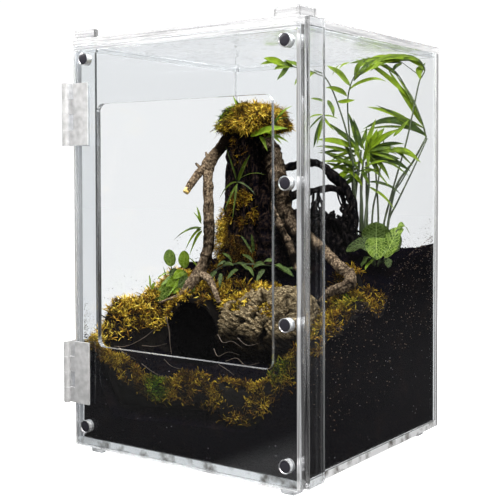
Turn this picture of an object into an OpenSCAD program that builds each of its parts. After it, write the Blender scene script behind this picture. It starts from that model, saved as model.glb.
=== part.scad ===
// Planted reptile terrarium in clear acrylic, with a hinged front door and a lift-off lid.
// Origin: centre of the bounding box, on the surface that the feet stand on. The door faces -Y.
// Box coordinates, used inside box_frame(): x from the left wall's outer face,
// y from the door's front face towards the back, z from the underside of the floor.

/* [Box] */
// Width over the side walls
box_w = 302; // [280:1:330]
// Depth from the front frame to the outer face of the back wall
box_d = 308; // [290:1:340]
// Height from the underside of the floor to the top of the lid
box_h = 460; // [440:1:500]
// Thickness of walls, frame, door and strips
sheet_t = 6; // [5:0.5:7]
// Thickness of the floor and the lid
plate_t = 8; // [6:0.5:9]
// Width of the strip that stiffens each front corner
strip_w = 28.5; // [24:0.5:36]

/* [Front opening] */
// Distance from each side of the box to the opening
opening_side = 33; // [28:1:45]
// Height of the sill above the underside of the floor
opening_sill = 114; // [100:1:130]
// Height of the opening
opening_h = 272; // [240:1:290]
// Corner radius of the opening
opening_r = 9; // [4:1:16]

/* [Door] */
// Gap between the door and the frame behind it
door_gap = 0.4; // [0.3:0.1:1]
// How much narrower the door is than the box, on each side
door_inset = 1; // [0.5:0.5:3]
// Gap between the top of the door and the lid's underside
door_drop = 6; // [4:0.5:8]
// Diameter of a magnet with its cup
cup_d = 14; // [12:0.5:16]
// Diameter of the magnet disc
magnet_d = 12; // [9:0.5:12]
// Distance of the magnets from the sides of the box
magnet_inset = 15.5; // [14:0.5:18]
// Height of the lowest magnets
magnet_low = 22; // [18:1:30]

/* [Hinges] */
// Height of each hinge
hinge_h = 70; // [60:2:80]
// Height of the middle of the lower hinge
hinge_low = 83; // [70:1:110]
// Height of the middle of the upper hinge
hinge_high = 375; // [340:1:390]
// Diameter of the knuckles
knuckle_d = 8; // [7:0.5:9]
// Thickness of a hinge leaf
leaf_t = 2; // [1.6:0.2:2.4]
// Diameter of the hinge pin
hinge_pin_d = 3; // [2.5:0.5:3.5]

/* [Feet and stacking corners] */
// Height of the feet and of the stacking corners
foot_h = 9.5; // [6:0.5:12]
// Length of each arm of a foot
foot_arm = 16; // [12:1:24]
// Distance of a foot's corner from the faces of the box
foot_inset = 13; // [10:1:20]
// Length of each arm of a stacking corner
stack_arm = 30; // [24:1:40]

/* [Planting] */
// Outer radius of the hollow cork tube that makes the hide
cave_r = 38; // [34:1:42]
// Wall thickness of the cork tube
cave_wall = 8; // [5:1:9]
// Length of the cork tube
cave_len = 88; // [60:1:95]
// Thickness of the moss cushions
moss_t = 14; // [8:1:18]

/* [Hidden] */
$fn = 64;

// Planes of the enclosure, in box coordinates
frame_y = sheet_t + door_gap;
wall_y = frame_y + sheet_t;
back_y = frame_y + box_d;
lid_z = box_h - plate_t;
door_top = lid_z - door_drop;
inner_l = sheet_t;
inner_r = box_w - sheet_t;
inner_b = back_y - sheet_t;
lip_t = 5;
lip_clear = 0.5;
rail_h = door_drop - 1;
stack_set_back = 4;

// Hinge axis: the knuckles lie outside the corner, against the face of the door
hinge_x = -sheet_t - leaf_t;
hinge_y = -knuckle_d / 2;
hinge_leaf_w = 24;
wall_leaf_end = 32;
knuckles = 4;
knuckle_pitch = hinge_h / knuckles;
knuckle_gap = 0.3;
pin_play = 0.06;

// The bounding box runs from the hinge knuckles to the right strip, and from the knuckles to the back
left_reach = hinge_x - knuckle_d / 2;
right_reach = box_w + sheet_t;
front_reach = hinge_y - knuckle_d / 2;
mid_x = (left_reach + right_reach) / 2;
mid_y = (front_reach + back_y) / 2;

// Magnet places: two down the hinge side, four down the opening side
magnet_top = box_h - magnet_low - 1.5;
magnet_step = (magnet_top - magnet_low) / 3;
magnet_spots = concat(
    [for (z = [magnet_low, magnet_top]) [magnet_inset, z]],
    [for (i = [0:3]) [box_w - magnet_inset, magnet_low + i * magnet_step]]
);
cup_floor = 1;
cup_play = 0.05;
magnet_recess = 0.3;

acrylic = [0.86, 0.92, 0.95, 0.35];
soil_colour = "#1c1916";
moss_colour = "#8a7326";
bark_colour = "#7d6549";
dark_bark_colour = "#3b322b";
leaf_colour = "#5f9427";

module box_frame() {
    translate([-mid_x, -mid_y, foot_h]) children();
}

module slab(low, high) {
    translate(low) cube(high - low);
}

// Clear acrylic shell

module base_panel() {
    color(acrylic) box_frame() slab([0, wall_y, 0], [box_w, back_y - sheet_t, plate_t]);
}

module side_wall(x) {
    color(acrylic) box_frame() slab([x, wall_y, plate_t], [x + sheet_t, inner_b, lid_z]);
}

module back_wall() {
    color(acrylic) box_frame() slab([0, inner_b, 0], [box_w, back_y, lid_z]);
}

module magnet_holes(y) {
    for (spot = magnet_spots) {
        translate([spot[0], y - 1, spot[1]]) rotate([-90, 0, 0])
            cylinder(h = sheet_t + 2, d = cup_d + 2 * cup_play);
    }
}

module front_frame() {
    opening_w = box_w - 2 * opening_side;
    color(acrylic) box_frame() difference() {
        slab([0, frame_y, 0], [box_w, wall_y, lid_z]);
        translate([opening_side, wall_y + 1, opening_sill]) rotate([90, 0, 0])
            linear_extrude(sheet_t + 2) rounded_rectangle(opening_w, opening_h, opening_r);
        magnet_holes(frame_y);
    }
}

module rounded_rectangle(w, h, r) {
    translate([r, 0]) square([w - 2 * r, h]);
    translate([0, r]) square([w, h - 2 * r]);
    for (x = [r, w - r], y = [r, h - r]) translate([x, y]) circle(r);
}

module side_strip(x) {
    color(acrylic) box_frame() slab([x, wall_y, 0], [x + sheet_t, wall_y + strip_w, box_h]);
}

// An L-shaped foot or stacking corner, its corner at the origin and its arms along +x and +y
module angle_piece(arm) {
    slab([0, 0, 0], [arm, sheet_t, foot_h]);
    slab([0, 0, 0], [sheet_t, arm, foot_h]);
}

module foot(right, rear) {
    x = right ? box_w - foot_inset : foot_inset;
    y = rear ? back_y - foot_inset : wall_y + 1;
    color(acrylic) box_frame() translate([x, y, -foot_h])
        mirror([right ? 1 : 0, 0, 0]) mirror([0, rear ? 1 : 0, 0]) angle_piece(foot_arm);
}

// Lift-off lid

module lid_panel() {
    color(acrylic) box_frame() slab([0, 0, lid_z], [box_w, back_y, box_h]);
}

module lid_front_rail() {
    color(acrylic) box_frame() slab([door_inset, 0, lid_z - rail_h], [box_w - door_inset, sheet_t, lid_z]);
}

module lid_side_lip(x) {
    lip_front = wall_y + lip_clear;
    color(acrylic) box_frame()
        slab([x, lip_front, lid_z - lip_t], [x + lip_t, inner_b - lip_clear, lid_z]);
}

module lid_back_lip() {
    side = inner_l + lip_clear + lip_t;
    color(acrylic) box_frame()
        slab([side, inner_b - lip_clear - lip_t, lid_z - lip_t], [box_w - side, inner_b - lip_clear, lid_z]);
}

module stack_corner(right) {
    color(acrylic) box_frame() translate([right ? box_w : 0, stack_set_back, box_h])
        mirror([right ? 1 : 0, 0, 0]) angle_piece(stack_arm);
}

// Door with its magnets

module door_panel() {
    color(acrylic) box_frame() difference() {
        slab([door_inset, 0, 0], [box_w - door_inset, sheet_t, door_top]);
        magnet_holes(0);
    }
}

// A nickel cup, open towards the side it is seen from, and the disc inside it
module cup(y, faces_front) {
    for (spot = magnet_spots) {
        translate([spot[0], y, spot[1]]) rotate([-90, 0, 0]) difference() {
            cylinder(h = sheet_t, d = cup_d);
            translate([0, 0, faces_front ? -1 : cup_floor]) cylinder(h = sheet_t - cup_floor + 1, d = magnet_d);
        }
    }
}

module disc(y, faces_front) {
    length = sheet_t - cup_floor - magnet_recess;
    for (spot = magnet_spots) {
        translate([spot[0], y + (faces_front ? magnet_recess : cup_floor), spot[1]])
            rotate([-90, 0, 0]) cylinder(h = length, d = magnet_d);
    }
}

module door_magnet_cups() { color("silver") box_frame() cup(0, true); }
module door_magnets() { color("#2a2730") box_frame() disc(0, true); }
module frame_magnet_cups() { color("silver") box_frame() cup(frame_y, false); }
module frame_magnets() { color("#2a2730") box_frame() disc(frame_y, false); }

// Hinges: four knuckles each, in turn on the wall leaf and on the door leaf

module knuckle(i, mid_z, bore_d) {
    low = mid_z - hinge_h / 2 + i * knuckle_pitch + knuckle_gap / 2;
    translate([hinge_x, hinge_y, low]) difference() {
        union() {
            cylinder(h = knuckle_pitch - knuckle_gap, d = knuckle_d);
            children();
        }
        translate([0, 0, -1]) cylinder(h = knuckle_pitch + 2, d = bore_d);
    }
}

module hinge_door_leaf(mid_z) {
    height = knuckle_pitch - knuckle_gap;
    color(acrylic) box_frame() {
        slab([door_inset + 1, -leaf_t, mid_z - hinge_h / 2], [hinge_leaf_w, 0, mid_z + hinge_h / 2]);
        for (i = [0:2:knuckles - 1]) {
            knuckle(i, mid_z, hinge_pin_d + 2 * pin_play)
                slab([0, -hinge_y - leaf_t, 0], [door_inset + 1.5 - hinge_x, -hinge_y, height]);
        }
    }
}

module hinge_wall_leaf(mid_z) {
    height = knuckle_pitch - knuckle_gap;
    color(acrylic) box_frame() {
        slab([hinge_x, knuckle_d / 4, mid_z - hinge_h / 2],
            [hinge_x + leaf_t, wall_leaf_end, mid_z + hinge_h / 2]);
        for (i = [1:2:knuckles - 1]) {
            knuckle(i, mid_z, hinge_pin_d) slab([0, 0, 0], [leaf_t, -hinge_y + knuckle_d / 4 + 0.5, height]);
        }
    }
}

module hinge_pin(mid_z) {
    color("white") box_frame() translate([hinge_x, hinge_y, mid_z - hinge_h / 2])
        cylinder(h = hinge_h, d = hinge_pin_d);
}

// Ground: the soil is a bowl, high at the sides and the back, low in front of the hide

function smooth(t) = let (c = max(0, min(1, t))) c * c * (3 - 2 * c);
function bump(x, y, cx, cy, r) = exp(-(pow(x - cx, 2) + pow(y - cy, 2)) / (r * r));

soil_gap = 0.5;
soil_x0 = inner_l + soil_gap;
soil_x1 = inner_r - soil_gap;
soil_y0 = wall_y + soil_gap;
soil_y1 = inner_b - soil_gap;
left_front_z = 151;
left_rise = 46;
right_front_z = 103;
right_rise = 114;
bowl_depth = 76;
palm_mound_h = 28;

function left_ground(y) = left_front_z + left_rise * smooth((y - 75) / 120);
function right_ground(y) = right_front_z + right_rise * min(1, pow((y - soil_y0) / 250, 0.9));
function bowl(x, y) = (bowl_depth - 0.1 * (x - 60) - 0.22 * (y - soil_y0)) * smooth((x - 8) / 48)
    * (1 - smooth((x - 235) / 55)) * (1 - smooth((y - 90) / 90));
function ground(x, y) = let (u = (x - soil_x0) / (soil_x1 - soil_x0))
    left_ground(y) * (1 - u) + right_ground(y) * u - bowl(x, y)
    + palm_mound_h * bump(x, y, 225, 245, 48);

// The hide: a hollow cork tube that lies in a trench in the soil, its mouth to the front
cave_x = 96;
cave_y = 92;
cave_z = 127;
trench_play = 0.5;
trench_x0 = cave_x - cave_r - trench_play;
trench_x1 = cave_x + cave_r + trench_play;
trench_y0 = cave_y - 8;
trench_y1 = cave_y + cave_len + trench_play;
function in_trench(x, y) = x >= trench_x0 && x <= trench_x1 && y >= trench_y0 && y <= trench_y1;
function soil(x, y) = in_trench(x, y) ? min(ground(x, y), cave_z - cave_r) : ground(x, y);

// A closed solid between two height functions over a grid of x and y lines
module height_solid(xs, ys, top, bottom) {
    nx = len(xs);
    ny = len(ys);
    count = nx * ny;
    points = concat(
        [for (y = ys, x = xs) [x, y, top(x, y)]],
        [for (y = ys, x = xs) [x, y, bottom(x, y)]]
    );
    function at(i, j) = j * nx + i;
    cells = [for (j = [0:ny - 2], i = [0:nx - 2]) [at(i, j), at(i + 1, j), at(i + 1, j + 1), at(i, j + 1)]];
    rim = concat(
        [for (i = [0:nx - 1]) at(i, 0)],
        [for (j = [1:ny - 1]) at(nx - 1, j)],
        [for (i = [nx - 2:-1:0]) at(i, ny - 1)],
        [for (j = [ny - 2:-1:1]) at(0, j)]
    );
    faces = concat(
        [for (c = cells) [c[0], c[2], c[1]]],
        [for (c = cells) [c[0], c[3], c[2]]],
        [for (c = cells) [c[0] + count, c[1] + count, c[2] + count]],
        [for (c = cells) [c[0] + count, c[2] + count, c[3] + count]],
        [for (k = [0:len(rim) - 1]) let (a = rim[k], b = rim[(k + 1) % len(rim)]) [a, b, b + count]],
        [for (k = [0:len(rim) - 1]) let (a = rim[k], b = rim[(k + 1) % len(rim)]) [a, b + count, a + count]]
    );
    polyhedron(points, faces);
}

function lines(from, to, count) = [for (i = [0:count]) from + (to - from) * i / count];

module substrate() {
    xs = concat(lines(soil_x0, trench_x0 - 1, 4), lines(trench_x0, trench_x1, 5),
        lines(trench_x1 + 1, soil_x1, 10));
    ys = concat(lines(soil_y0, trench_y0 - 1, 5), lines(trench_y0, trench_y1, 4),
        lines(trench_y1 + 1, soil_y1, 8));
    color(soil_colour) box_frame() height_solid(xs, ys, function (x, y) soil(x, y), function (x, y) plate_t);
}

// A moss cushion: it follows the ground, thins out to its edges and is pressed a little into the soil
module moss_patch(x0, x1, y0, y1, thick, nx, ny, base) {
    press = 3;
    edge = 12;
    function fade(a, low, high) = smooth(min(a - low, high - a) / edge + 0.2);
    function swell(x, y) = thick * sqrt(fade(x, x0, x1) * fade(y, y0, y1)) + 1.5 * sin(x * 23) * cos(y * 19);
    color(moss_colour) box_frame() height_solid(lines(x0, x1, nx), lines(y0, y1, ny),
        function (x, y) base(x, y) + max(0.5, swell(x, y)), function (x, y) base(x, y) - press);
}

module moss_front() {
    moss_patch(soil_x0 + 6, soil_x1 - 4, soil_y0 + 0.2, soil_y0 + 30, moss_t + 6, 20, 4,
        function (x, y) ground(x, y) - 1);
}

module moss_left() {
    moss_patch(soil_x0 + 0.5, trench_x0 - 3, soil_y0 + 32, 165, moss_t - 2, 5, 11,
        function (x, y) ground(x, y));
}

module moss_right() {
    moss_patch(240, soil_x1 - 0.5, soil_y0 + 32, 190, moss_t, 5, 12, function (x, y) ground(x, y));
}

// Moss over the cork tube follows the tube's back, and the soil beside it
module moss_cave_top() {
    function tube_top(x) = abs(x - cave_x) < cave_r ? cave_z + sqrt(pow(cave_r, 2) - pow(x - cave_x, 2)) : 0;
    moss_patch(cave_x - 30, cave_x + 30, cave_y + 4, cave_y + cave_len - 2, moss_t - 3, 8, 6,
        function (x, y) tube_top(x));
}

module cork_cave_tube() {
    color(dark_bark_colour) box_frame() translate([cave_x, cave_y, cave_z]) rotate([-90, 0, 0]) difference() {
        cylinder(h = cave_len, r = cave_r);
        translate([0, 0, -1]) cylinder(h = cave_len + 2, r = cave_r - cave_wall);
    }
}

// A round or lumpy body swept along points, with a radius at each point
function unit(v) = v / norm(v);
function tangent(p, i) = unit(p[min(i + 1, len(p) - 1)] - p[max(i - 1, 0)]);
function side_of(t) = unit(cross([0, 1, 0], t));

module limb(p, r, sides, rough = 0.12) {
    n = len(p);
    function knob(i, k) = 1 + rough * sin(137 * i + 360 * k * 2 / sides) + rough * cos(211 * i + 97 * k);
    points = concat([for (i = [0:n - 1], k = [0:sides - 1])
        let (t = tangent(p, i), u = side_of(t), v = cross(t, u), a = 360 * k / sides)
        p[i] + r[i] * knob(i, k) * (u * cos(a) + v * sin(a))], [p[0], p[n - 1]]);
    function at(i, k) = i * sides + k % sides;
    faces = concat(
        [for (i = [0:n - 2], k = [0:sides - 1]) [at(i, k), at(i + 1, k), at(i + 1, k + 1)]],
        [for (i = [0:n - 2], k = [0:sides - 1]) [at(i, k), at(i + 1, k + 1), at(i, k + 1)]],
        [for (k = [0:sides - 1]) [n * sides, at(0, k), at(0, k + 1)]],
        [for (k = [0:sides - 1]) [n * sides + 1, at(n - 1, k + 1), at(n - 1, k)]]
    );
    polyhedron(points, faces);
}

// A lumpy boulder of cork: rings of points around a flattened ball
module boulder(centre, size, rings, sides, rough) {
    function lump(a, b) = 1 + rough * sin(3 * a + 40) * cos(2 * b) + rough * sin(5 * a + 3 * b);
    points = concat([for (i = [1:rings - 1], k = [0:sides - 1])
        let (b = -90 + 180 * i / rings, a = 360 * k / sides, s = lump(a, b))
        [centre[0] + size[0] * s * cos(b) * cos(a), centre[1] + size[1] * s * cos(b) * sin(a),
            centre[2] + size[2] * s * sign(sin(b)) * pow(abs(sin(b)), 0.8)]],
        [[centre[0], centre[1], centre[2] - size[2]], [centre[0], centre[1], centre[2] + size[2]]]);
    function at(i, k) = (i - 1) * sides + k % sides;
    south = (rings - 1) * sides;
    faces = concat(
        [for (i = [1:rings - 2], k = [0:sides - 1]) [at(i, k), at(i + 1, k + 1), at(i, k + 1)]],
        [for (i = [1:rings - 2], k = [0:sides - 1]) [at(i, k), at(i + 1, k), at(i + 1, k + 1)]],
        [for (k = [0:sides - 1]) [south, at(1, k), at(1, k + 1)]],
        [for (k = [0:sides - 1]) [south + 1, at(rings - 1, k + 1), at(rings - 1, k)]]
    );
    polyhedron(points, faces);
}

module cork_mound() {
    color(bark_colour) box_frame() boulder([188, 128, 132], [55, 40, 53], 8, 16, 0.06);
}

stump_top = [112, 190, 362];
module cork_stump() {
    color(dark_bark_colour) box_frame()
        limb([[112, 200, 160], [110, 194, 205], [108, 191, 245], [108, 190, 290], [110, 190, 330], stump_top],
            [38, 35, 30, 28, 27, 28], 12);
}

module moss_stump_cap() {
    color(moss_colour) box_frame() boulder(stump_top + [4, -4, 9], [42, 38, 22], 8, 14, 0.06);
}

module driftwood_rear() {
    color(dark_bark_colour) box_frame() {
        limb([[128, 200, 304], [172, 216, 316], [206, 221, 308], [226, 222, 288], [222, 221, 262],
            [226, 222, 235], [227, 222, 200]], [7, 8, 10, 9, 8, 7, 6], 8);
        limb([[126, 202, 262], [166, 216, 273], [196, 222, 272], [219, 222, 264]], [6, 8, 7, 5], 8);
    }
}

module branch_left() {
    color(bark_colour) box_frame() {
        limb([[106, 174, 360], [97, 165, 352], [91, 156, 338], [84, 144, 318], [87, 139, 299], [93, 134, 270],
            [99, 128, 235], [101, 120, 208], [95, 110, 188], [84, 100, 171]],
            [8, 8.5, 8, 9.5, 8, 8, 8.5, 9, 7, 4], 8);
        limb([[86, 146, 316], [79, 135, 311], [74, 126, 299], [71, 118, 288]], [7, 6.5, 5.5, 4.5], 8);
        limb([[98, 122, 210], [116, 113, 198], [131, 105, 186], [142, 98, 170]], [7, 6, 5, 3.5], 8);
    }
}

module branch_right() {
    color(bark_colour) box_frame() {
        limb([[128, 184, 334], [150, 180, 338], [163, 176, 332], [172, 171, 320], [181, 165, 303],
            [192, 158, 284], [207, 151, 261], [228, 150, 235], [250, 149, 214], [272, 147, 194]],
            [9, 11, 11, 10, 10, 9.5, 9.5, 9, 9, 10], 8);
        limb([[274, 152, 198], [267, 130, 185], [261, 112, 176], [258, 92, 152]], [9.5, 9, 8, 6], 8);
        limb([[178, 168, 300], [186, 154, 266], [208, 142, 238], [230, 132, 200]], [7, 7, 6.5, 5], 8);
    }
}

// Leaves: a thin pointed blade that arches and droops from its base to its tip
module blade(base, tip, wide, arch, steps = 3) {
    along = tip - base;
    across = unit(cross(norm([along[0], along[1]]) < 1 ? [1, 0, 0] : [0, 0, 1], along));
    thick = 0.5;
    normal = unit(cross(unit(along), across));
    points = concat([base], [for (i = [1:steps - 1])
        let (f = i / steps, w = wide / 2 * pow(sin(180 * pow(f, 0.8)), 0.8), c = base + along * f
            + [0, 0, arch * sin(180 * f)])
        each [c + across * w, c + normal * thick, c - across * w, c - normal * thick]], [tip]);
    last = len(points) - 1;
    faces = concat(
        [for (k = [0:3]) [0, 1 + k, 1 + (k + 1) % 4]],
        [for (i = [0:steps - 3], k = [0:3]) let (a = 1 + 4 * i + k, b = 1 + 4 * i + (k + 1) % 4)
            each [[a, b + 4, b], [a, a + 4, b + 4]]],
        [for (k = [0:3]) [last, last - 4 + (k + 1) % 4, last - 4 + k]]
    );
    polyhedron(points, faces);
}

// Palm fronds, each as [points along its stalk, where the leaflets start, leaflet length, pairs of leaflets]
fronds = [
    [[[251, 262, 215], [262, 275, 288], [279, 287, 323], [287, 296, 351]], 0.8, 70, 3],
    [[[244, 256, 215], [266, 268, 300], [276, 281, 380], [283, 288, 421], [278, 281, 439], [256, 264, 441]],
        0.66, 60, 5],
    [[[222, 247, 215], [220, 244, 299], [217, 238, 347], [219, 230, 394], [229, 224, 413], [237, 221, 428]],
        0.6, 42, 3],
    [[[230, 238, 215], [231, 233, 335], [216, 222, 391], [202, 211, 418], [175, 190, 434], [160, 178, 438]],
        0.5, 40, 5],
    [[[214, 252, 215], [213, 246, 293], [205, 234, 335], [190, 216, 345]], 0.55, 62, 4],
    [[[236, 252, 215], [237, 250, 299], [247, 250, 347], [258, 250, 370]], 0.6, 56, 4],
    [[[243, 247, 215], [246, 252, 293], [265, 260, 323], [286, 276, 325]], 0.55, 58, 5],
    [[[252, 246, 215], [254, 244, 265], [264, 240, 290], [284, 232, 284]], 0.5, 48, 4],
    [[[213, 241, 215], [210, 236, 305], [202, 222, 317], [188, 206, 314]], 0.6, 56, 4],
    [[[262, 250, 215], [256, 258, 310], [262, 272, 352], [266, 284, 369]], 0.7, 66, 4]
];

// A point at a fraction t of the way along a stalk, counted by its own points
function on_stalk(p, t) = let (n = len(p) - 1, i = min(n - 1, floor(t * n)), f = t * n - i)
    p[i] * (1 - f) + p[i + 1] * f;

module palm_stems() {
    color("#4f6b2f") box_frame() for (f = fronds) {
        last = len(f[0]) - 1;
        limb(f[0], [for (i = [0:last]) 2.2 - 1.4 * i / last], 6, 0);
    }
}

// Keeps a leaf's tip inside the walls and under the lid
leaf_top = lid_z - lip_t - 2;
function in_box(p) = [
    max(inner_l + 3, min(inner_r - 3, p[0])),
    max(wall_y + 3, min(inner_b - 3, p[1])),
    min(leaf_top, p[2])
];
leaflet_w = 9;

module palm_fronds() {
    color(leaf_colour) box_frame() for (f = fronds, i = [0:f[3]]) {
        t = f[1] + (1 - f[1]) * i / f[3];
        at = on_stalk(f[0], t);
        along = unit(on_stalk(f[0], min(1, t + 0.03)) - on_stalk(f[0], t - 0.03));
        out = unit(cross(along, [0.02, 0, 1]));
        for (s = i == f[3] ? [-1, 0, 1] : [-1, 1]) {
            reach = f[2] * (1 - 0.25 * i / f[3]);
            blade(at + along * s, in_box(at + reach * unit(along * 0.75 + out * s * 0.8 + [0, 0, -0.25])),
                leaflet_w, 0);
        }
    }
}

// Low rosettes of round leaves, each leaf as [where it springs from, tip, width]
module rosette(leaves) {
    color(leaf_colour) box_frame() for (l = leaves) blade(l[0], l[1], l[2], 3, 5);
}

module fittonia_left() {
    rosette([
        [[28, 144, 170], [16, 142, 208], 20], [[34, 144, 172], [48, 142, 214], 18],
        [[32, 136, 170], [20, 112, 184], 22], [[38, 136, 170], [54, 118, 182], 22],
        [[40, 146, 172], [60, 156, 196], 18]
    ]);
}

module fittonia_right() {
    rosette([
        [[254, 214, 200], [236, 200, 220], 24], [[260, 212, 200], [268, 192, 214], 26],
        [[256, 220, 202], [250, 228, 244], 26], [[264, 220, 200], [286, 228, 232], 24],
        [[264, 214, 200], [288, 208, 212], 22], [[266, 226, 202], [288, 248, 240], 22]
    ]);
}

module tuft(foot, blades, length, spread, start) {
    color(leaf_colour) box_frame() for (i = [0:blades - 1]) {
        a = start + spread * i / blades;
        lean = 0.5 + 0.35 * sin(131 * i);
        reach = length * (0.8 + 0.2 * cos(97 * i));
        tip = foot + reach * unit([cos(a) * lean, sin(a) * lean, 0.8]);
        blade(foot + 3 * [cos(a), sin(a), 0], in_box(tip), 4, 0);
    }
}

module grass_left() { tuft([60, 158, 165], 8, 66, 300, 120); }
module grass_stump() { tuft([148, 168, 172], 9, 92, 360, 0); }

base_panel();
side_wall(0);  // left_wall
side_wall(inner_r);  // right_wall
back_wall();
front_frame();
side_strip(-sheet_t);  // left_side_strip
side_strip(box_w);  // right_side_strip
foot(false, false);  // foot_front_left
foot(true, false);  // foot_front_right
foot(false, true);  // foot_rear_left
foot(true, true);  // foot_rear_right
lid_panel();
lid_front_rail();
lid_side_lip(inner_l + lip_clear);  // lid_left_lip
lid_side_lip(inner_r - lip_clear - lip_t);  // lid_right_lip
lid_back_lip();
stack_corner(false);  // stack_corner_left
stack_corner(true);  // stack_corner_right
door_panel();
door_magnet_cups();
door_magnets();
frame_magnet_cups();
frame_magnets();
hinge_door_leaf(hinge_high);  // upper_hinge_door_leaf
hinge_wall_leaf(hinge_high);  // upper_hinge_wall_leaf
hinge_pin(hinge_high);  // upper_hinge_pin
hinge_door_leaf(hinge_low);  // lower_hinge_door_leaf
hinge_wall_leaf(hinge_low);  // lower_hinge_wall_leaf
hinge_pin(hinge_low);  // lower_hinge_pin
substrate();
moss_front();
moss_left();
moss_right();
moss_cave_top();
moss_stump_cap();
cork_cave_tube();
cork_mound();
cork_stump();
driftwood_rear();
branch_left();
branch_right();
palm_stems();
palm_fronds();
fittonia_left();
fittonia_right();
grass_left();
grass_stump();
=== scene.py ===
import math
import random

import bmesh
import bpy
from mathutils import Matrix, Vector, noise


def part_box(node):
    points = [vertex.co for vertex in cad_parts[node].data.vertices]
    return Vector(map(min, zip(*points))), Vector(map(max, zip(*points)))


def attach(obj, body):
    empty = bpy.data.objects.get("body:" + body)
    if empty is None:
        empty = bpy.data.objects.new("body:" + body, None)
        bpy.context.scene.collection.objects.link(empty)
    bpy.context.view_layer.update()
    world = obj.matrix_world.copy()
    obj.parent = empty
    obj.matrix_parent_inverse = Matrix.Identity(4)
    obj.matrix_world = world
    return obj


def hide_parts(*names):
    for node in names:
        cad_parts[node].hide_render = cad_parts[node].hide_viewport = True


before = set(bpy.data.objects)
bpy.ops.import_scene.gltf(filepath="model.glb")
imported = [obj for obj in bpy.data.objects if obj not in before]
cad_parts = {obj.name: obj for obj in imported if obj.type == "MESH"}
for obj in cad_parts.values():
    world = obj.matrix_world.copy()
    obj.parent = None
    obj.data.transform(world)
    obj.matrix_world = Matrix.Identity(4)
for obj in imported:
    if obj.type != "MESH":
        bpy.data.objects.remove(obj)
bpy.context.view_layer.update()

scene = bpy.context.scene
MM = 0.001

# Box coordinates in millimetres, as in the part's own drawing: x from the left wall's outer face,
# y from the door's front face, z from the underside of the floor.
SHEET = 6.0
PLATE = 8.0
BOX_W = 302.0
BOX_H = 460.0
FRAME_Y = 6.4
WALL_Y = FRAME_Y + SHEET
BACK_Y = FRAME_Y + 308.0
LID_Z = BOX_H - PLATE
INNER_L = SHEET
INNER_R = BOX_W - SHEET
INNER_B = BACK_Y - SHEET
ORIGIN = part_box("front_frame")[0] - Vector((0, FRAME_Y * MM, 0))


def at(x, y, z):
    """A point of the shared frame, in metres, from box coordinates in millimetres."""
    return ORIGIN + Vector((x, y, z)) * MM


def smooth(t):
    c = max(0.0, min(1.0, t))
    return c * c * (3 - 2 * c)


def mix(a, b, t):
    return a + (b - a) * t


def signed_power(value, power):
    return math.copysign(abs(value) ** power, value)


def wobble(x, y, z, size, octaves=3):
    """Smooth noise from about -1 to 1 whose features are size millimetres across."""
    return noise.fractal(Vector((x, y, z)) / size, 1.0, 2.0, octaves)


# Camera

CAMERA_AT = Vector((0.6727, -0.9567, 0.3166))
CAMERA_YAW = math.radians(35.58)
CAMERA_PITCH = math.radians(-1.5)
CAMERA_ROLL = math.radians(-0.11)
CAMERA_LENS = 71.83
CAMERA_SHIFT_Y = -0.099


def make_camera():
    forward = Vector((
        -math.sin(CAMERA_YAW) * math.cos(CAMERA_PITCH),
        math.cos(CAMERA_YAW) * math.cos(CAMERA_PITCH),
        math.sin(CAMERA_PITCH),
    ))
    right = forward.cross(Vector((0, 0, 1))).normalized()
    up = right.cross(forward)
    turn = Matrix((right, up, -forward)).transposed() @ Matrix.Rotation(CAMERA_ROLL, 3, "Z")
    data = bpy.data.cameras.new("photo_camera")
    data.sensor_width = 36
    data.lens = CAMERA_LENS
    data.shift_y = CAMERA_SHIFT_Y
    data.clip_start = 0.02
    camera = bpy.data.objects.new("photo_camera", data)
    camera.matrix_world = Matrix.Translation(CAMERA_AT) @ turn.to_4x4()
    scene.collection.objects.link(camera)
    scene.camera = camera


# Node helpers

def set_inputs(node, inputs):
    """Sets a node's inputs, by name or number, to plain values or to the outputs of other nodes."""
    for key, value in inputs.items():
        if isinstance(value, bpy.types.NodeSocket):
            node.id_data.links.new(value, node.inputs[key])
        else:
            node.inputs[key].default_value = value


def add_node(tree, kind, inputs=None):
    node = tree.nodes.new("ShaderNode" + kind)
    set_inputs(node, inputs or {})
    return node


def maths(tree, operation, first, second=0.0):
    node = add_node(tree, "Math", {0: first, 1: second})
    node.operation = operation
    return node.outputs[0]


def vector_maths(tree, operation, first, second=(0, 0, 0)):
    node = add_node(tree, "VectorMath", {0: first, 1: second})
    node.operation = operation
    return node


def step_between(tree, value, start, end, low=0.0, high=1.0):
    """Runs smoothly from low to high while the value runs from start to end."""
    node = add_node(tree, "MapRange", {
        "Value": value, "From Min": start, "From Max": end, "To Min": low, "To Max": high})
    node.interpolation_type = "SMOOTHSTEP"
    return node.outputs["Result"]


def spread_over(tree, value, low, high):
    """A value from 0 to 1, spread from low to high."""
    return add_node(tree, "MapRange", {"Value": value, "To Min": low, "To Max": high}).outputs["Result"]


def blend_values(tree, factor, first, second):
    return add_node(tree, "Mix", {"Factor": factor, 2: first, 3: second}).outputs[0]


def blend_colours(tree, factor, first, second):
    node = tree.nodes.new("ShaderNodeMix")
    node.data_type = "RGBA"
    set_inputs(node, {"Factor": factor, 6: first, 7: second})
    return node.outputs[2]


def colour_ramp(tree, source, stops):
    ramp = add_node(tree, "ValToRGB", {"Fac": source})
    elements = ramp.color_ramp.elements
    while len(elements) < len(stops):
        elements.new(0.5)
    for element, (place, colour) in zip(elements, stops):
        element.position = place
        element.color = (*colour, 1)
    return ramp.outputs["Color"]


def object_place(tree, stretch=None):
    """A point's place in its object's own space, drawn out along an axis if asked."""
    place = add_node(tree, "TexCoord").outputs["Object"]
    return vector_maths(tree, "MULTIPLY", place, stretch).outputs[0] if stretch else place


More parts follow.
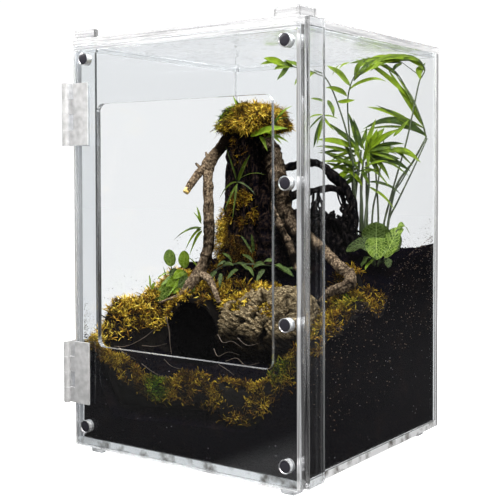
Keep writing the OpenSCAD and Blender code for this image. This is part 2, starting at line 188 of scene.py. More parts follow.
def noise_texture(tree, scale, detail, stretch=None):
    return add_node(tree, "TexNoise", {
        "Vector": object_place(tree, stretch), "Scale": scale, "Detail": detail}).outputs[0]


def cell_texture(tree, scale, feature="F1"):
    node = add_node(tree, "TexVoronoi", {"Vector": object_place(tree), "Scale": scale})
    node.feature = feature
    return node.outputs["Distance"]


def attribute(tree, name):
    node = tree.nodes.new("ShaderNodeAttribute")
    node.attribute_name = name
    return node.outputs["Fac"]


def new_material(name):
    material = bpy.data.materials.new(name)
    material.use_nodes = True
    return material, material.node_tree, material.node_tree.nodes["Principled BSDF"]


def add_bump(tree, shader, source, strength, distance):
    bump = add_node(tree, "Bump", {"Strength": strength, "Distance": distance, "Height": source})
    set_inputs(shader, {"Normal": bump.outputs["Normal"]})


def mix_shaders(tree, factor, first, second):
    """The material's surface becomes a mix of two shaders."""
    mixed = add_node(tree, "MixShader", {"Fac": factor, 1: first.outputs[0], 2: second.outputs[0]})
    set_inputs(tree.nodes["Material Output"], {"Surface": mixed.outputs[0]})


def let_lamps_through(tree, shader, tint):
    """Rays for shadows and bounced light pass a clear material straight, so what is behind it is lit."""
    path = add_node(tree, "LightPath")
    lighting = maths(tree, "MAXIMUM", path.outputs["Is Shadow Ray"], path.outputs["Is Diffuse Ray"])
    mix_shaders(tree, lighting, shader, add_node(tree, "BsdfTransparent", {"Color": (*tint, 1)}))


def solid(value):
    return (value, value, value, 1)


def grey(value):
    """A grey with the least touch of blue."""
    return (value * 0.98, value * 0.985, value)


BLACK = (0, 0, 0)
WHITE = (1, 1, 1)


# Studio: a lit backdrop behind the object, dark sides, soft boxes above and a pale floor

# Brightness of each part of the studio, and how far ahead or behind it lies: 1 is straight ahead, -1 behind
BACKDROP = 1.08
LIT_EDGE = 0.67
DARK_EDGE = 0.545
SIDE_SHADE = 0.012
BEHIND = 0.3
BEHIND_EDGE = -0.8
BEHIND_FULL = -0.94
CEILING = 0.28
CEILING_EDGE = 0.38
CEILING_FULL = 0.6
BEYOND_PANES = 1.05
FLOOR_GLOW = 0.85
FLOOR_PALE = 0.9
FLOOR_MIRRORED = 0.02


def backdrop_light(tree, direction):
    """How brightly the studio is lit in a direction: full ahead, dim behind the camera, dark at the sides."""
    split = add_node(tree, "SeparateXYZ", {0: direction})
    flat = add_node(tree, "CombineXYZ", {"X": split.outputs["X"], "Y": split.outputs["Y"]})
    unit = vector_maths(tree, "NORMALIZE", flat.outputs[0])
    forward = (-math.sin(CAMERA_YAW), math.cos(CAMERA_YAW), 0)
    ahead = vector_maths(tree, "DOT_PRODUCT", unit.outputs[0], forward).outputs["Value"]
    level = step_between(tree, ahead, DARK_EDGE, LIT_EDGE, SIDE_SHADE, BACKDROP)
    behind = step_between(tree, ahead, BEHIND_EDGE, BEHIND_FULL, 0.0, BEHIND)
    return maths(tree, "ADD", level, behind), split.outputs["Z"]


def seen_plainly(tree):
    """One for what shows past clear sheets or past nothing, nought for reflections and bounced light."""
    path = add_node(tree, "LightPath")
    unmirrored = maths(tree, "LESS_THAN", path.outputs["Glossy Depth"], 0.5)
    unscattered = maths(tree, "LESS_THAN", path.outputs["Diffuse Depth"], 0.5)
    direct = maths(tree, "MULTIPLY", unmirrored, unscattered)
    through = maths(tree, "MULTIPLY", direct, path.outputs["Is Transmission Ray"])
    return maths(tree, "MAXIMUM", through, path.outputs["Is Camera Ray"])


def make_world():
    world = bpy.data.worlds.new("studio")
    scene.world = world
    world.use_nodes = True
    tree = world.node_tree
    tree.nodes.clear()
    level, height = backdrop_light(tree, add_node(tree, "TexCoord").outputs["Generated"])
    # Above the backdrop the ceiling is evenly bright
    rise = step_between(tree, height, CEILING_EDGE, CEILING_FULL)
    overhead = blend_colours(tree, rise, level, solid(CEILING))
    # The page behind the object stays plain white, through the panes too
    page = blend_colours(tree, seen_plainly(tree), overhead, solid(BEYOND_PANES))
    background = add_node(tree, "Background", {"Color": page})
    add_node(tree, "OutputWorld", {"Surface": background.outputs[0]})


def floor_paper():
    """Pale paper. Through the panes it is as bright as the page, mirrored in them as dark as the sides."""
    material, tree, shader = new_material("floor_paper")
    level, _ = backdrop_light(tree, object_place(tree))
    straight = add_node(tree, "LightPath").outputs["Is Camera Ray"]
    behind_glass = blend_values(tree, seen_plainly(tree), level, BEYOND_PANES)
    set_inputs(shader, {
        "Base Color": blend_colours(tree, straight, solid(FLOOR_MIRRORED), solid(FLOOR_PALE)),
        "Emission Strength": blend_values(tree, straight, behind_glass, FLOOR_GLOW),
        "Emission Color": solid(1.0),
        "Roughness": 1.0,
        "Specular IOR Level": 0.0,
    })
    return material


# name, place, size, power, colour
SOFT_BOXES = (
    ("softbox_above", (0.25, -0.55, 1.5), (0.5, 0.4), 44, (1.0, 0.98, 0.95)),
    ("softbox_left", (-1.1, -0.5, 1.25), (0.4, 0.5), 34, (1.0, 0.99, 0.97)),
    ("softbox_right", (1.35, -0.7, 0.95), (0.5, 0.5), 24, (1.0, 0.98, 0.95)),
    ("softbox_behind", (0.5, 1.1, 1.3), (0.5, 0.5), 22, (0.97, 0.98, 1.0)),
)
LIT_POINT = Vector((0, 0, 0.25))
FLOOR_HALF = 6.0


def make_studio():
    scene.view_settings.view_transform = "Standard"
    scene.cycles.max_bounces = 24
    scene.cycles.transmission_bounces = 24
    scene.cycles.transparent_max_bounces = 32
    make_world()
    for name, place, size, power, colour in SOFT_BOXES:
        data = bpy.data.lights.new(name, "AREA")
        data.shape = "RECTANGLE"
        data.size, data.size_y = size
        data.energy = power
        data.color = colour
        lamp = bpy.data.objects.new(name, data)
        lamp.location = place
        lamp.rotation_euler = (LIT_POINT - Vector(place)).to_track_quat("-Z", "Y").to_euler()
        scene.collection.objects.link(lamp)
    mesh = bpy.data.meshes.new("floor")
    corners = [(x * FLOOR_HALF, y * FLOOR_HALF, 0) for x, y in ((-1, -1), (1, -1), (1, 1), (-1, 1))]
    mesh.from_pydata(corners, [], [(0, 1, 2, 3)])
    mesh.materials.append(floor_paper())
    floor = bpy.data.objects.new("floor", mesh)
    scene.collection.objects.link(floor)


# Materials

ACRYLIC_IOR = 1.49
SHEET_IOR = 1.38
SHEET_TINT = (0.97, 0.98, 0.985)
EDGE_TINT = (0.96, 0.97, 0.98)


def clear_acrylic():
    """The sheet's polished faces."""
    material, tree, shader = new_material("clear_acrylic")
    set_inputs(shader, {"Base Color": (0.962, 0.972, 0.98, 1), "Roughness": 0.0, "IOR": SHEET_IOR,
                        "Transmission Weight": 1.0, "Specular IOR Level": 0.5})
    let_lamps_through(tree, shader, SHEET_TINT)
    return material


def sawn_acrylic(name, stretch, clearness, darkest, lightest=1.0, share=0.34):
    """Edges of the sheet: scraped matt, so they catch the light, with saw marks along them, their dark bands
    partly painted shade.
    """
    material, tree, shader = new_material(name)
    marks = noise_texture(tree, 620, 3, stretch)
    # Saw marks whose darkest tone is painted shade, in place of the dark lines that clear edges refract
    tone = colour_ramp(tree, marks, [
        (share, (darkest, darkest, darkest * 1.05)), (share + 0.14, grey(0.84 * lightest)),
        (share + 0.26, grey(lightest))])
    set_inputs(shader, {"Base Color": tone, "Roughness": spread_over(tree, marks, 0.06, 0.3),
                        "IOR": ACRYLIC_IOR, "Transmission Weight": clearness})
    add_bump(tree, shader, marks, 0.1, 0.0002)
    let_lamps_through(tree, shader, EDGE_TINT)
    return material


def floor_edge():
    """The floor sheet's edge, milky, with grey and black blotches of painted reflection."""
    material, tree, shader = new_material("floor_edge")
    blotches = noise_texture(tree, 75, 5)
    tone = colour_ramp(tree, blotches, [
        (0.33, (0.12, 0.11, 0.1)), (0.42, (0.5, 0.5, 0.5)), (0.52, (0.92, 0.93, 0.95))])
    set_inputs(shader, {"Base Color": tone, "Roughness": 0.3, "IOR": ACRYLIC_IOR,
                        "Transmission Weight": 0.25})
    add_bump(tree, shader, blotches, 0.15, 0.0003)
    let_lamps_through(tree, shader, EDGE_TINT)
    return material


def misted_acrylic():
    """The lid's underside, where fine drops of condensation stand in drifts and darker specks in patches."""
    material, tree, shader = new_material("misted_acrylic")
    specks = colour_ramp(tree, cell_texture(tree, 120), [(0.2, grey(0.2)), (0.4, grey(1.0))])
    patches = colour_ramp(tree, noise_texture(tree, 22, 4), [(0.48, BLACK), (0.6, WHITE)])
    tone = blend_colours(tree, patches, (*grey(0.985), 1), specks)
    drifts = colour_ramp(tree, noise_texture(tree, 16, 4), [(0.38, (0.1, 0.1, 0.1)), (0.62, WHITE)])
    set_inputs(shader, {"Base Color": tone, "Roughness": 0.06, "IOR": ACRYLIC_IOR,
                        "Transmission Weight": 0.82})
    add_bump(tree, shader, maths(tree, "MULTIPLY", cell_texture(tree, 260), drifts), 0.5, 0.0012)
    let_lamps_through(tree, shader, SHEET_TINT)
    return material


def hinge_plastic():
    """Milky moulded plastic, slightly mottled."""
    material, tree, shader = new_material("hinge_plastic")
    mottle = noise_texture(tree, 140, 4)
    tone = colour_ramp(tree, mottle, [(0.3, grey(0.34)), (0.7, grey(0.53))])
    set_inputs(shader, {"Base Color": tone, "Roughness": 0.42, "IOR": 1.45, "Transmission Weight": 0.05})
    add_bump(tree, shader, mottle, 0.3, 0.0004)
    let_lamps_through(tree, shader, (0.8, 0.81, 0.83))
    return material


def plain_finish(name, colour, roughness, metallic=0.0, grain=400, depth=0.15):
    """A hard finish with a fine grain in its colour, gloss and relief."""
    material, tree, shader = new_material(name)
    fine = noise_texture(tree, grain, 4)
    dark = tuple(c * 0.8 for c in colour)
    light = tuple(min(1.0, c * 1.15) for c in colour)
    set_inputs(shader, {"Base Color": colour_ramp(tree, fine, [(0.3, dark), (0.7, light)]),
                        "Roughness": spread_over(tree, fine, roughness * 0.7, roughness * 1.3),
                        "Metallic": metallic})
    add_bump(tree, shader, fine, depth, 0.0002)
    return material


def soil_material():
    """Moist peat: near black, with brown fibres, cool damp patches and a few pale grains."""
    material, tree, shader = new_material("moist_soil")
    fine = noise_texture(tree, 420, 5)
    ground_colour = colour_ramp(tree, noise_texture(tree, 35, 3), [
        (0.3, (0.0004, 0.0004, 0.0014)), (0.55, (0.001, 0.0008, 0.002)), (0.75, (0.0045, 0.0025, 0.0025))])
    fibres = colour_ramp(tree, fine, [
        (0.5, (0.001, 0.0008, 0.001)), (0.66, (0.012, 0.007, 0.006)), (0.8, (0.05, 0.035, 0.025))])
    fibrous = colour_ramp(tree, fine, [(0.55, BLACK), (0.78, WHITE)])
    peat = blend_colours(tree, fibrous, ground_colour, fibres)
    grains = colour_ramp(tree, cell_texture(tree, 150), [(0.07, WHITE), (0.12, BLACK)])
    sparse = colour_ramp(tree, noise_texture(tree, 60, 2), [(0.5, BLACK), (0.62, WHITE)])
    tone = blend_colours(tree, maths(tree, "MULTIPLY", grains, sparse), peat, (0.2, 0.18, 0.2, 1))
    set_inputs(shader, {"Base Color": tone, "Roughness": 1.0, "Specular IOR Level": 0.0})
    add_bump(tree, shader, fine, 0.8, 0.0015)
    return material


def moss_material(name):
    """Stringy moss. Painted shade runs from near black at the root to light at the tip, tint differs by
    strand, green marks live patches.
    """
    material, tree, shader = new_material(name)
    shade = attribute(tree, "shade")
    ochre = colour_ramp(tree, shade, [
        (0.0, (0.0018, 0.0012, 0.0008)), (0.25, (0.06, 0.034, 0.003)), (0.55, (0.4, 0.27, 0.016)),
        (1.0, (0.88, 0.7, 0.12))])
    rust = colour_ramp(tree, shade, [
        (0.0, (0.004, 0.002, 0.001)), (0.4, (0.17, 0.07, 0.006)), (1.0, (0.72, 0.42, 0.05))])
    leafy = colour_ramp(tree, shade, [
        (0.0, (0.002, 0.004, 0.001)), (0.5, (0.06, 0.14, 0.004)), (1.0, (0.3, 0.52, 0.03))])
    warm = colour_ramp(tree, attribute(tree, "tint"), [(0.3, WHITE), (0.8, BLACK)])
    tone = blend_colours(tree, attribute(tree, "green"), blend_colours(tree, warm, rust, ochre), leafy)
    set_inputs(shader, {"Base Color": tone, "Roughness": 0.8, "Specular IOR Level": 0.05})
    return material


def bark_material(name, dark, mid, light, scale, strength, stretch=(1, 1, 0.3)):
    """Bark with plates and cracks, drawn out along the grain. The attribute depth is painted shade: it
    darkens hollows and shaded sides.
    """
    material, tree, shader = new_material(name)
    fine = noise_texture(tree, scale, 8)
    streaks = noise_texture(tree, scale * 1.6, 6, stretch)
    plates = colour_ramp(tree, fine, [(0.38, dark), (0.5, mid), (0.64, light)])
    lines = colour_ramp(tree, streaks, [(0.4, dark), (0.5, mid), (0.62, light)])
    patches = colour_ramp(tree, noise_texture(tree, scale * 0.16, 3), [(0.4, BLACK), (0.6, WHITE)])
    # Painted shade: the attribute depth blends the bark towards near black
    black = (*(c * 0.06 for c in dark), 1)
    tone = blend_colours(tree, attribute(tree, "depth"), blend_colours(tree, patches, plates, lines), black)
    set_inputs(shader, {"Base Color": tone, "Roughness": 0.85, "Specular IOR Level": 0.0})
    add_bump(tree, shader, maths(tree, "ADD", fine, streaks), strength, 0.002)
    return material


def leaf_material(name, dark, light, vein, gloss, vein_count=0, vein_width=0.0, net=0.0):
    """A leaf with a midrib, side veins and a net of fine ones, from its own u (along) and v (across)."""
    material, tree, shader = new_material(name)
    uv = tree.nodes.new("ShaderNodeUVMap")
    uv.uv_map = "leaf"
    split = add_node(tree, "SeparateXYZ", {0: uv.outputs[0]})

    def calc(operation, first, second=0.0):
        return maths(tree, operation, first, second)

    def waves(phase, count):
        return calc("ABSOLUTE", calc("SINE", calc("MULTIPLY", phase, math.pi * count)))

    across = calc("ABSOLUTE", calc("SUBTRACT", split.outputs["Y"], 0.5))
    if vein_count:
        # Side veins leave the midrib forwards, so their phase runs along the leaf and falls off across it
        wave = waves(calc("SUBTRACT", split.outputs["X"], calc("MULTIPLY", across, 0.55)), vein_count)
        midrib = calc("LESS_THAN", across, vein_width * 0.09)
        cells = cell_texture(tree, 260, "DISTANCE_TO_EDGE")
        threads = calc("MULTIPLY", calc("LESS_THAN", cells, 0.09), net)
        veins = calc("MAXIMUM", calc("MAXIMUM", calc("LESS_THAN", wave, vein_width), midrib), threads)
        relief = calc("MULTIPLY", wave, cells)
        strength = 0.5
    else:
        # Long veins run side by side from foot to tip
        relief = waves(across, 9)
        veins = calc("MULTIPLY", calc("LESS_THAN", relief, 0.3), 0.45)
        strength = 0.25
    mottle = calc("ADD", noise_texture(tree, 110, 4), attribute(tree, "tint"))
    blade = colour_ramp(tree, mottle, [(0.25, dark), (0.8, light)])
    colour = blend_colours(tree, veins, blade, (*vein, 1))
    set_inputs(shader, {"Base Color": colour, "Roughness": gloss, "Specular IOR Level": 0.2})
    add_bump(tree, shader, calc("SUBTRACT", relief, veins), strength, 0.001)
    # Leaves glow where light falls on their far side
    mix_shaders(tree, 0.35, shader, add_node(tree, "BsdfTranslucent", {"Color": colour}))
    return material


# Mesh helpers

class Shape:
    """Collects points, faces and their attributes, and becomes one piece."""

    def __init__(self):
        self.points = []
        self.faces = []
        self.slots = []
        self.values = {}
        self.uv = {}

    def add_points(self, points, **values):
        start = len(self.points)
        self.points.extend(points)
        for name, numbers in values.items():
            held = self.values.setdefault(name, {})
            for i, number in enumerate(numbers):
                held[start + i] = number
        return start

    def add_face(self, face, slot=0):
        self.faces.append(face)
        self.slots.append(slot)

    def grid(self, rows, closed=False, slot=0, uv=False, **values):
        """Quads between rows of points that all have the same count."""
        width = len(rows[0])
        flat = [p for row in rows for p in row]
        flat_values = {name: [n for row in numbers for n in row] for name, numbers in values.items()}
        start = self.add_points(flat, **flat_values)
        if uv:
            for i in range(len(rows)):
                for j in range(width):
                    self.uv[start + i * width + j] = (i / (len(rows) - 1), j / (width - 1))
        last = width if closed else width - 1
        for i in range(len(rows) - 1):
            for j in range(last):
                a = start + i * width + j
                b = start + i * width + (j + 1) % width
                self.add_face((a, b, b + width, a + width), slot)
        return start

    def cap(self, start, count, flip=False):
        """Closes a ring of points with a fan around its middle."""
        ring = [start + i for i in range(count)]
        middle = sum((self.points[i] for i in ring), Vector()) / count
        centre = self.add_points([middle])
        for name in self.values:
            if ring[0] in self.values[name]:
                self.values[name][centre] = self.values[name][ring[0]]
        for a, b in zip(ring, ring[1:] + ring[:1]):
            self.add_face((b, a, centre) if flip else (a, b, centre))

    def tube(self, rows, flip=False, **values):
        """Joins rings into a tube and closes its ends. Flip turns the ends' faces the other way."""
        count = len(rows[0])
        start = self.grid(rows, closed=True, **values)
        self.cap(start, count, not flip)
        self.cap(start + count * (len(rows) - 1), count, flip)

    def build(self, name, materials, smoothed=True):
        mesh = bpy.data.meshes.new(name)
        mesh.from_pydata([tuple(p) for p in self.points], [], self.faces)
        for material in materials:
            mesh.materials.append(material)
        mesh.polygons.foreach_set("material_index", self.slots)
        mesh.polygons.foreach_set("use_smooth", [smoothed] * len(self.faces))
        for key, held in self.values.items():
            layer = mesh.attributes.new(key, "FLOAT", "POINT")
            layer.data.foreach_set("value", [float(held.get(i, 0.0)) for i in range(len(self.points))])
        if self.uv:
            layer = mesh.uv_layers.new(name="leaf")
            flat = []
            for loop in mesh.loops:
                flat.extend(self.uv.get(loop.vertex_index, (0.0, 0.0)))
            layer.data.foreach_set("uv", flat)
        mesh.update()
        piece = bpy.data.objects.new(name, mesh)
        scene.collection.objects.link(piece)
        return piece


def settle(piece, body, slot, *nodes):
    """The piece rides on its body and stands for its CAD nodes. The slot is not used."""
    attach(piece, body)
    if nodes:
        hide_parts(*nodes)


def plant(shape, name, materials, slot, *nodes):
    """The shape becomes a piece of the habitat, which stays with the enclosure."""
    settle(shape.build(name, materials), "enclosure", slot, *nodes)


def angles(sides):
    return [2 * math.pi * k / sides for k in range(sides)]


def climb(levels, reach):
    """Angles above and below the level, evenly spread and short of the reach, which is in degrees."""
    return [math.radians(-reach + 2 * reach * i / levels) for i in range(1, levels)]


def compass(a, rise=0.0):
    """The direction at an angle around the vertical."""
    return Vector((math.cos(a), math.sin(a), rise))


def scatter(rng, x, y, z):
    """A random step with its own spread along each axis."""
    return Vector((rng.gauss(0, x), rng.gauss(0, y), rng.gauss(0, z)))


def curve_points(points, steps):
    """Points on a smooth curve through the given ones, steps to each stretch."""
    held = [Vector(p) for p in points]
    padded = [held[0] * 2 - held[1]] + held + [held[-1] * 2 - held[-2]]
    found = []
    for i in range(1, len(padded) - 2):
        p0, p1, p2, p3 = padded[i - 1:i + 3]
        for k in range(steps):
            t = k / steps
            found.append(0.5 * (2 * p1 + (p2 - p0) * t + (2 * p0 - 5 * p1 + 4 * p2 - p3) * t * t
                                + (3 * p1 - p0 - 3 * p2 + p3) * t ** 3))
    found.append(held[-1])
    return found


def curve_values(values, steps):
    return [mix(a, b, k / steps) for a, b in zip(values, values[1:]) for k in range(steps)] + [values[-1]]


def frames_along(points):
    """A steady pair of cross directions at each point of a curve."""
    found = []
    across = None
    for i, p in enumerate(points):
        along = (points[min(i + 1, len(points) - 1)] - points[max(i - 1, 0)]).normalized()
        if across is None:
            across = along.cross(Vector((0.3, 1, 0.1))).normalized()
        across = (across - along * across.dot(along)).normalized()
        found.append((p, across, along.cross(across)))
    return found


# Clear shell, door and lid

SHEET_GAP = 0.03 * MM
EDGE_ROUND = 0.35 * MM
HINGE_GAP = 0.01 * MM
HINGE_ROUND = 0.25 * MM
SHARP_ANGLE = math.radians(20)
ROUNDED_ANGLE = math.radians(30)
MAGNET_SHARP_ANGLE = math.radians(35)


def mark_sharp(bm, angle):
    """Smooth faces keep crisp corners where the surface turns by more than the angle."""
    for edge in bm.edges:
        edge.smooth = not edge.is_manifold or edge.calc_face_angle() < angle


def rounded_copy(name, materials, inset=SHEET_GAP, radius=EDGE_ROUND):
    """A copy of a CAD node drawn in by a hair, its edges rounded.

    Material 0 is for a sheet's faces, 1 for its upright edges, 2 for its level ones and 3 for its underside.
    """
    bm = bmesh.new()
    bm.from_mesh(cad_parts[name].data)
    bmesh.ops.remove_doubles(bm, verts=bm.verts, dist=1e-6)
    bmesh.ops.dissolve_limit(bm, angle_limit=math.radians(0.5), verts=bm.verts, edges=bm.edges)
    bm.normal_update()
    drawn_in = [v.co - v.normal * inset * v.calc_shell_factor() for v in bm.verts]
    for vert, place in zip(bm.verts, drawn_in):
        vert.co = place
    corners = [e for e in bm.edges if e.is_manifold and e.calc_face_angle() > ROUNDED_ANGLE]
    bmesh.ops.bevel(bm, geom=corners, offset=radius, offset_type="OFFSET", segments=2, profile=0.5,
                    affect="EDGES", clamp_overlap=True)
    bm.normal_update()
    low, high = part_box(name)
    size = high - low
    thin = min(range(3), key=lambda axis: size[axis])
    for face in bm.faces:
        face.smooth = True
        face.material_index = 0
        if len(materials) > 1 and abs(face.normal[thin]) < 0.2:
            spans = [max(v.co[k] for v in face.verts) - min(v.co[k] for v in face.verts) for k in range(3)]
            face.material_index = 1 if spans[2] > max(spans[0], spans[1]) else 2
        if len(materials) > 3 and face.normal.z < -0.9:
            face.material_index = 3
    mark_sharp(bm, SHARP_ANGLE)
    mesh = bpy.data.meshes.new(name + "_piece")
    bm.to_mesh(mesh)
    bm.free()
    if "custom_normal" in mesh.attributes:
        mesh.attributes.remove(mesh.attributes["custom_normal"])
    for material in materials:
        mesh.materials.append(material)
    piece = bpy.data.objects.new(name + "_piece", mesh)
    scene.collection.objects.link(piece)
    return piece


def turned(shape, profile, centre, sides):
    """Turns a profile of (radius, depth) around a line along the box's y axis, in millimetres."""
    x, y, z = centre
    shape.grid([[at(x + radius * math.cos(a), y + depth, z + radius * math.sin(a)) for a in angles(sides)]
                for radius, depth in profile], closed=True)


MAGNET_INSET = 15.5
MAGNET_LOW = 22.0
MAGNET_TOP = BOX_H - MAGNET_LOW - 1.5
MAGNET_STEP = (MAGNET_TOP - MAGNET_LOW) / 3
MAGNET_SPOTS = [(MAGNET_INSET, MAGNET_LOW), (MAGNET_INSET, MAGNET_TOP)] + [
    (BOX_W - MAGNET_INSET, MAGNET_LOW + i * MAGNET_STEP) for i in range(4)]
CUP_R = 6.98
DISC_R = 5.9


def make_magnets(nickel, epoxy):
    """Plated cups with rounded lips, black discs with a chamfer: one set in the door, one in the frame."""
    cup_profile = [(0.01, 5.0), (DISC_R + 0.1, 5.0), (DISC_R + 0.1, 0.45), (DISC_R + 0.35, 0.12),
                   (CUP_R - 0.35, 0.02), (CUP_R - 0.1, 0.12), (CUP_R, 0.4), (CUP_R, 5.6),
                   (CUP_R - 0.35, 5.95), (0.01, 5.98)]
    disc_profile = [(0.01, 0.32), (3.0, 0.3), (DISC_R - 0.45, 0.36), (DISC_R - 0.1, 0.6), (DISC_R, 0.95),
                    (DISC_R, 4.9), (0.01, 4.9)]
    kinds = (("cups", "magnet_cups", cup_profile, nickel, "nickel"),
             ("discs", "magnets", disc_profile, epoxy, "magnet_face"))
    sides = (("door", "door", 0.0, 1), ("frame", "enclosure", FRAME_Y + SHEET, -1))
    for word, body, y, direction in sides:
        for kind, node, profile, material, slot in kinds:
            shape = Shape()
            for x, z in MAGNET_SPOTS:
                turned(shape, [(r, direction * d) for r, d in profile][::direction], (x, y, z), 48)
            piece = shape.build(f"{word}_magnet_{kind}_piece", [material])
            settle(piece, body, slot, f"{word}_{node}")
            bm = bmesh.new()
            bm.from_mesh(piece.data)
            mark_sharp(bm, MAGNET_SHARP_ANGLE)
            bm.to_mesh(piece.data)
            bm.free()


WALLS = ("base_panel", "left_wall", "right_wall", "back_wall", "front_frame", "left_side_strip",
         "right_side_strip", "foot_front_left", "foot_front_right", "foot_rear_left", "foot_rear_right")
LID_PARTS = ("lid_panel", "lid_front_rail", "lid_left_lip", "lid_right_lip", "lid_back_lip",
             "stack_corner_left", "stack_corner_right")
UPRIGHT_MARKS = (1, 1, 0.012)
LEVEL_MARKS = (0.012, 0.012, 1)


def make_shell():
    clear = clear_acrylic()
    upright = sawn_acrylic("sawn_upright", UPRIGHT_MARKS, 0.6, 0.35)
    level = sawn_acrylic("sawn_level", LEVEL_MARKS, 0.66, 0.4)
    # Near black bands on the side strip's edges, the frame's rim and the stack corners' ends are painted
    # shade for dark refraction lines
    striped = sawn_acrylic("sawn_strip", UPRIGHT_MARKS, 0.9, 0.02, 0.9, 0.4)
    faint = sawn_acrylic("sawn_faint", UPRIGHT_MARKS, 0.95, 0.7)
    milky_edge = sawn_acrylic("sawn_milky", UPRIGHT_MARKS, 0.4, 0.5, 0.62)
    rim = sawn_acrylic("sawn_rim", UPRIGHT_MARKS, 0.8, 0.06, 0.7, 0.41)
    dim = sawn_acrylic("sawn_lid", LEVEL_MARKS, 0.7, 0.35, 0.8)
    shaded_end = sawn_acrylic("sawn_end", UPRIGHT_MARKS, 0.4, 0.02, 0.25)
    floor = floor_edge()
    misted = misted_acrylic()
    special = {
        "lid_panel": [clear, dim, dim, misted],
        "lid_front_rail": [clear, dim, dim],
        "stack_corner_left": [clear, shaded_end, dim],
        "stack_corner_right": [clear, shaded_end, dim],
        "base_panel": [clear, floor, floor],
        "front_frame": [clear, rim, dim],
        "left_wall": [clear, milky_edge, level],
        "back_wall": [clear, milky_edge, level],
        "left_side_strip": [clear, faint, faint],
        "right_side_strip": [clear, striped, level],
    }
    for body, names in (("enclosure", WALLS), ("lid", LID_PARTS), ("door", ("door_panel",))):
        for name in names:
            settle(rounded_copy(name, special.get(name, [clear, upright, level])), body, "acrylic", name)
    milky = hinge_plastic()
    pin_nylon = plain_finish("pin_nylon", (0.8, 0.81, 0.83), 0.35)
    for place in ("upper", "lower"):
        for side, body in (("door", "door"), ("wall", "enclosure")):
            leaf = f"{place}_hinge_{side}_leaf"
            settle(rounded_copy(leaf, [milky], HINGE_GAP, HINGE_ROUND), body, "hinge_plastic", leaf)
        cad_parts[f"{place}_hinge_pin"].data.materials[0] = pin_nylon
    nickel = plain_finish("bright_nickel", (0.5, 0.5, 0.52), 0.3, 1.0, 900, 0.05)
    epoxy = plain_finish("black_epoxy", (0.02, 0.019, 0.026), 0.35, 0.0, 700, 0.2)
    make_magnets(nickel, epoxy)


# Ground, as in the part's own drawing: a bowl of soil, high at the sides and the back

SOIL_GAP = 0.5
SOIL_X0 = INNER_L + SOIL_GAP
SOIL_X1 = INNER_R - SOIL_GAP
SOIL_Y0 = WALL_Y + SOIL_GAP
SOIL_Y1 = INNER_B - SOIL_GAP
CAVE_X = 96.0
CAVE_Y = 92.0
CAVE_Z = 127.0
CAVE_R = 38.0
CAVE_WALL = 8.0
CAVE_LEN = 88.0
TRENCH_Y0 = CAVE_Y - 8
TRENCH_Y1 = CAVE_Y + CAVE_LEN


def left_ground(y):
    return 118 + 32 * smooth((y - 32) / 24) + 45 * smooth((y - 98) / 105)


def right_ground(y):
    return 103 + 114 * min(1.0, (max(0.0, y - SOIL_Y0) / 250) ** 0.9)


def bowl(x, y):
    depth = 76 - 0.1 * (x - 60) - 0.22 * (y - SOIL_Y0)
    return depth * smooth((x - 8) / 48) * (1 - smooth((x - 235) / 55)) * (1 - smooth((y - 90) / 90))


def ground(x, y):
    u = (x - SOIL_X0) / (SOIL_X1 - SOIL_X0)
    mound = 28 * math.exp(-((x - 225) ** 2 + (y - 245) ** 2) / 48 ** 2)
    dip = 30 * math.exp(-((y - 176) / 26) ** 2) * smooth((x - 252) / 36)
    bank = 10 * math.exp(-((y - 56) / 22) ** 2) * smooth((x - 262) / 30)
    hollow = 13 * math.exp(-((x - 272) ** 2 + (y - 262) ** 2) / 34 ** 2)
    corner = 8 * math.exp(-((x - 296) ** 2 + (y - 305) ** 2) / 30 ** 2)
    return mix(left_ground(y), right_ground(y), u) - bowl(x, y) + mound - dip + bank - hollow + corner


def tube_top(x):
    """Height of the cork tube's back over a point, or nothing beside it."""
    reach = abs(x - CAVE_X)
    return CAVE_Z + math.sqrt(CAVE_R ** 2 - reach ** 2) if reach < CAVE_R else 0.0


def soil_height(x, y):
    """The soil's surface: pressed down in the trench that holds the cork tube, crumbly elsewhere."""
    base = ground(x, y)
    if abs(x - CAVE_X) < CAVE_R and TRENCH_Y0 < y < TRENCH_Y1:
        base = min(base, CAVE_Z - CAVE_R - 1)
    return base + 2.2 * wobble(x, y, 0, 22) + 1.2 * wobble(x, y, 9, 5) - 1.5


def make_substrate(soil):
    """The soil bed. Its sides stand a hair inside the panes, with shallow voids where it has drawn away."""
    shape = Shape()
    foot = PLATE + 0.1
    down = 64
    xs = [mix(SOIL_X0, SOIL_X1, i / 118) for i in range(119)]
    ys = [mix(SOIL_Y0, SOIL_Y1, j / 122) for j in range(123)]
    shape.grid([[at(x, y, soil_height(x, y)) for x in xs] for y in ys])

    def side(points, inward):
        rows = []
        for k in range(down + 1):
            row = []
            for x, y in points:
                z = mix(soil_height(x, y), foot, k / down)
                bite = 0.55 * max(0.0, wobble(x, y, z, 3.0) - 0.15)
                bite += 1.6 * max(0.0, wobble(x, y, z, 17) - 0.45)
                bite *= smooth(k / 2) * smooth((down - k) / 2)
                row.append(at(x + inward[0] * bite, y + inward[1] * bite, z))
            rows.append(row)
        shape.grid(rows)

    side([(x, SOIL_Y0) for x in xs], (0, 1))
    side([(x, SOIL_Y1) for x in reversed(xs)], (0, -1))
    side([(SOIL_X0, y) for y in reversed(ys)], (1, 0))
    side([(SOIL_X1, y) for y in ys], (-1, 0))
    shape.grid([[at(x, y, foot) for x in xs[::40]] for y in reversed(ys[::40])])
    plant(shape, "substrate_piece", [soil], "soil", "substrate")


